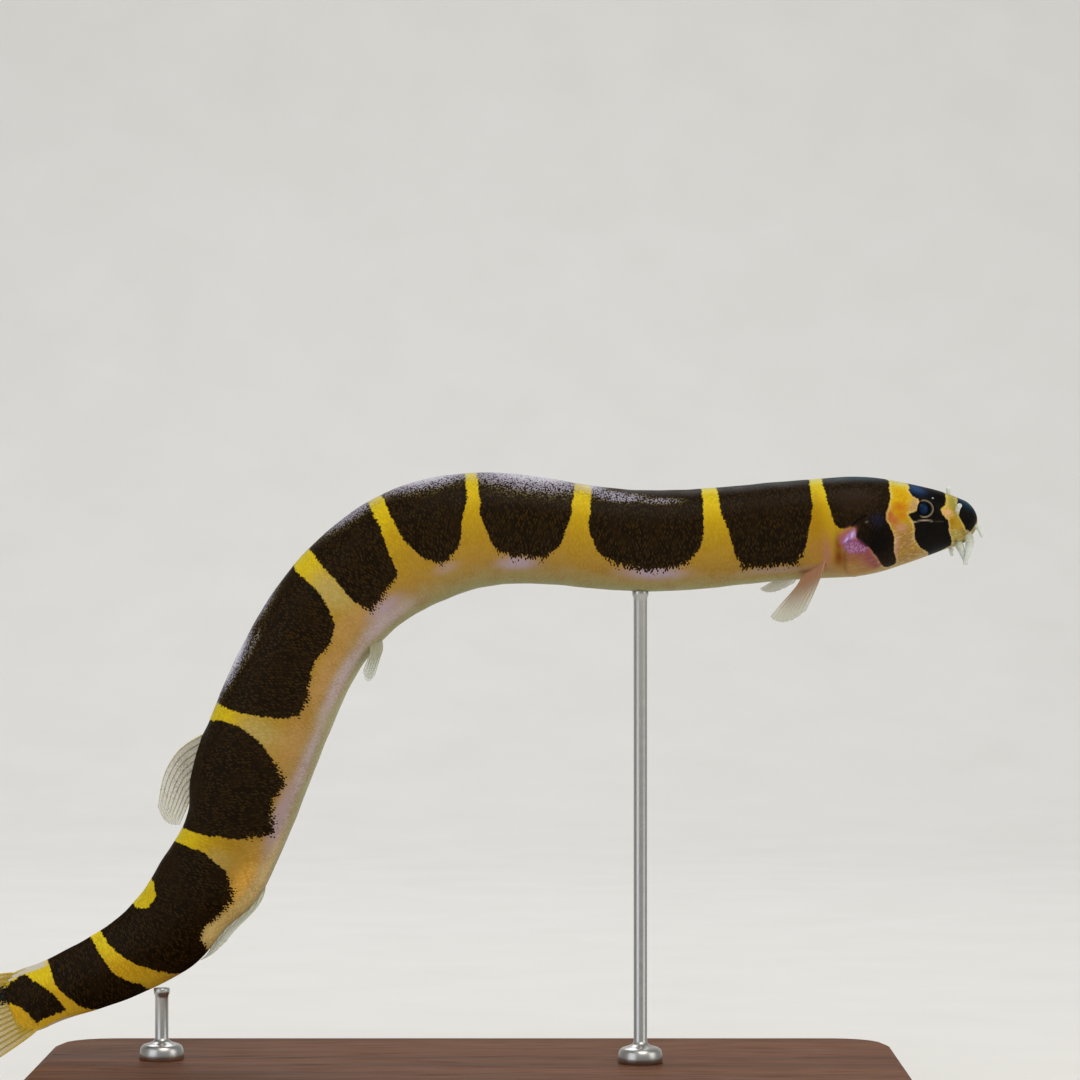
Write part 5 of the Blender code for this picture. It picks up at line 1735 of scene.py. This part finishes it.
# Surface, rays, columns, rows, where rays fork, ray thickness, half the film's at the root
FINS = {
    "fin_dorsal": (dorsal_surface, 9, 65, 26, 0.55, (0.055, 0.024), 0.055, DORSAL_LOOK),
    "fin_anal": (anal_surface, 8, 57, 16, 0.6, (0.045, 0.022), 0.06, ANAL_LOOK),
    "fin_caudal": (caudal_surface, 16, 121, 34, 0.45, (0.08, 0.028), 0.06, CAUDAL_LOOK),
}
for name, side in SIDES.items():
    pectoral = paired_surface(PECTORAL, PECTORAL_AIM[side], side)
    pelvic = paired_surface(PELVIC, PELVIC_AIM, side)
    FINS[f"fin_pectoral_{name}"] = (pectoral, 9, 65, 30, 0.5, (0.05, 0.022), 0.17, PECTORAL_LOOK)
    FINS[f"fin_pelvic_{name}"] = (pelvic, 6, 41, 20, 0.55, (0.035, 0.018), 0.08, PELVIC_LOOK)


def store_dark(data):
    """The saddle distance at the points of the tail fin, from their place on the spine."""
    co = np.empty(len(data.vertices) * 3)
    data.vertices.foreach_get("co", co)
    co = co.reshape(-1, 3) / MM
    places = np.arange(78, 91, 0.05)
    spine = spine_at(places)
    nearest = np.argmin(((co[:, None, :] - spine[None]) ** 2).sum(axis=2), axis=1)
    height = np.einsum("ij,ij->i", co - spine[nearest], axes_at(places)[2][nearest])
    at = places[nearest]
    half_depth, _, fullness = section_at(at)
    # The angle whose height on the body's section is this height
    upward = np.clip(abs(height) / half_depth, 0, 1) ** (fullness / 2)
    rises = np.sign(height) * np.degrees(np.arcsin(upward))
    store(data, "dark", np.clip(inside_outline(SADDLES[-1], unrolled(at, rises)), -3, 3))


for seed, (name, spec) in enumerate(FINS.items()):
    surface, rays, columns, rows, fork, thick, film_root, look = spec
    tints, ray_tints, fleck, flecks, clear, ray_clear = look
    dark_root = "#0D0A06" if name == "fin_caudal" else None
    film_finish = fin_finish(f"{name}_film", *tints, fleck, flecks * 0.5, clear, dark_root)
    ray_finish = fin_finish(f"{name}_rays", *ray_tints, fleck, flecks, ray_clear, dark_root)
    sheet = film(name, surface, rays, columns, rows, film_root)
    lines = ray_lines(surface, rays, fork, rows * 2, *thick)
    values = {
        "Joint Spacing": 0.26 * MM,
        "Joint Depth": 0.22,
        "Sides": 8,
        "Unevenness": 0.05,
        "Seed": 31 + seed,
        "Ray": ray_finish,
    }
    rods = grown("rays", grow_rays, lines, values)
    if dark_root:
        store_dark(sheet)
        store_dark(rods)
    link_piece(f"{name}_film", sheet, film_finish, (name,))
    link_piece(f"{name}_rays", rods, ray_finish)

# %% [markdown]
# ## The stand
# A plain museum stand: an oiled walnut block, and two steel rods that carry the fish. The
# CAD block has the right shape, so it stays and gets a better finish. The rods are turned
# again with finer detail, and reach the belly, where each ends in a little cup.

# %% Oiled walnut
# The bands of a wave lie 0.314 of this size apart, so growth lines are 4.1 mm apart
GRAIN_SIZE = 13.2
# Open pores of walnut are about 0.2 mm wide, and drawn long along the grain
PORE_SIZE = 0.22


def oiled_walnut():
    """Walnut, planed and oiled: dark growth lines along the block, fine open pores."""
    finish, tree, shader = finish_named("oiled_walnut")
    where = add(tree, "ShaderNodeTexCoord").outputs["Object"]
    long = add(tree, "ShaderNodeMapping", {0: where, "Scale": (0.12, 1.0, 1.0)}).outputs[0]
    warp = add(
        tree, "ShaderNodeTexNoise", {"Vector": long, "Scale": per_metre(9), "Detail": 3.0}
    ).outputs[0]
    rings = add(
        tree,
        "ShaderNodeTexWave",
        {"Vector": long, "Scale": per_metre(GRAIN_SIZE), "Distortion": 9.0, "Detail": 3.0,
         "Detail Scale": 1.2},
        bands_direction="Y",
    ).outputs["Fac"]
    thin = add(tree, "ShaderNodeMapping", {0: where, "Scale": (0.05, 1.0, 1.0)}).outputs[0]
    pores = add(
        tree, "ShaderNodeTexNoise", {"Vector": thin, "Scale": per_metre(PORE_SIZE), "Detail": 2.0}
    ).outputs[0]
    colour = mixed(tree, rings, "#653A1B", "#4C2A12")
    colour = mixed(tree, step(tree, warp, 0.35, 0.7, 0.0, 0.5), colour, "#774826")
    colour = mixed(tree, step(tree, pores, 0.60, 0.70, 0.0, 0.6), colour, "#2A170A")
    tree.links.new(colour, shader.inputs["Base Color"])
    tree.links.new(step(tree, pores, 0.4, 0.7, 0.50, 0.68), shader.inputs["Roughness"])
    shader.inputs["Specular IOR Level"].default_value = 0.1
    bump = add(
        tree,
        "ShaderNodeBump",
        {"Strength": 0.35, "Distance": 0.05 * MM, "Height": pores},
        invert=True,
    )
    tree.links.new(bump.outputs[0], shader.inputs["Normal"])
    return finish


base_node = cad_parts["stand_base"]
base_node.data.materials.clear()
base_node.data.materials.append(oiled_walnut())

# %% [markdown]
# Each rod is turned from one profile, from the cup under the belly down to a rounded foot.

# %% Steel rods
# Tool marks are 0.05 mm apart and drawn six times as coarse
TOOL_MARK_SIZE = 0.3
# The cups reach this much above the solid rods, to the belly. The feet stand 0.02 mm deep in
# the block
CUP_RISE = 0.42
ROD_FOOT = 3.98


def turned_steel():
    """Stainless steel, turned on a lathe: fine rings round the rod."""
    finish, tree, shader = finish_named("turned_steel")
    where = add(tree, "ShaderNodeTexCoord").outputs["Object"]
    flat = add(tree, "ShaderNodeMapping", {0: where, "Scale": (0.02, 0.02, 1.0)}).outputs[0]
    rings = add(
        tree, "ShaderNodeTexNoise", {"Vector": flat, "Scale": per_metre(TOOL_MARK_SIZE), "Detail": 2.0}
    ).outputs[0]
    tree.links.new(mixed(tree, rings, "#B4B3AF", "#BAB9B5"), shader.inputs["Base Color"])
    shader.inputs["Metallic"].default_value = 1.0
    tree.links.new(step(tree, rings, 0.3, 0.7, 0.28, 0.34), shader.inputs["Roughness"])
    return finish


steel = turned_steel()
up = np.array((0.0, 0.0, 1.0))
for name in ("front", "rear"):
    low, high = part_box(f"stand_rod_{name}")
    centre = np.array(((low + high) / 2)) / MM
    foot = np.array((centre[0], centre[1], 0.0))
    top = high.z / MM + CUP_RISE
    profile = (
        (0.0, top - 0.10), (0.25, top - 0.08), (0.42, top), (0.50, top - 0.01), (0.54, top - 0.08),
        (0.54, top - 0.34), (0.47, top - 0.50), (0.45, top - 0.70), (0.45, ROD_FOOT + 1.5),
        (0.50, ROD_FOOT + 1.36), (0.64, ROD_FOOT + 1.22), (0.95, ROD_FOOT + 1.12),
        (1.20, ROD_FOOT + 1.04), (1.34, ROD_FOOT + 0.94), (1.42, ROD_FOOT + 0.80),
        (1.47, ROD_FOOT + 0.60), (1.5, ROD_FOOT + 0.40), (1.5, ROD_FOOT + 0.06), (1.46, ROD_FOOT),
        (0.0, ROD_FOOT),
    )
    rod = turned_form(profile, foot, up, 48)
    link_piece(f"stand_rod_{name}", rod, steel, (f"stand_rod_{name}",))
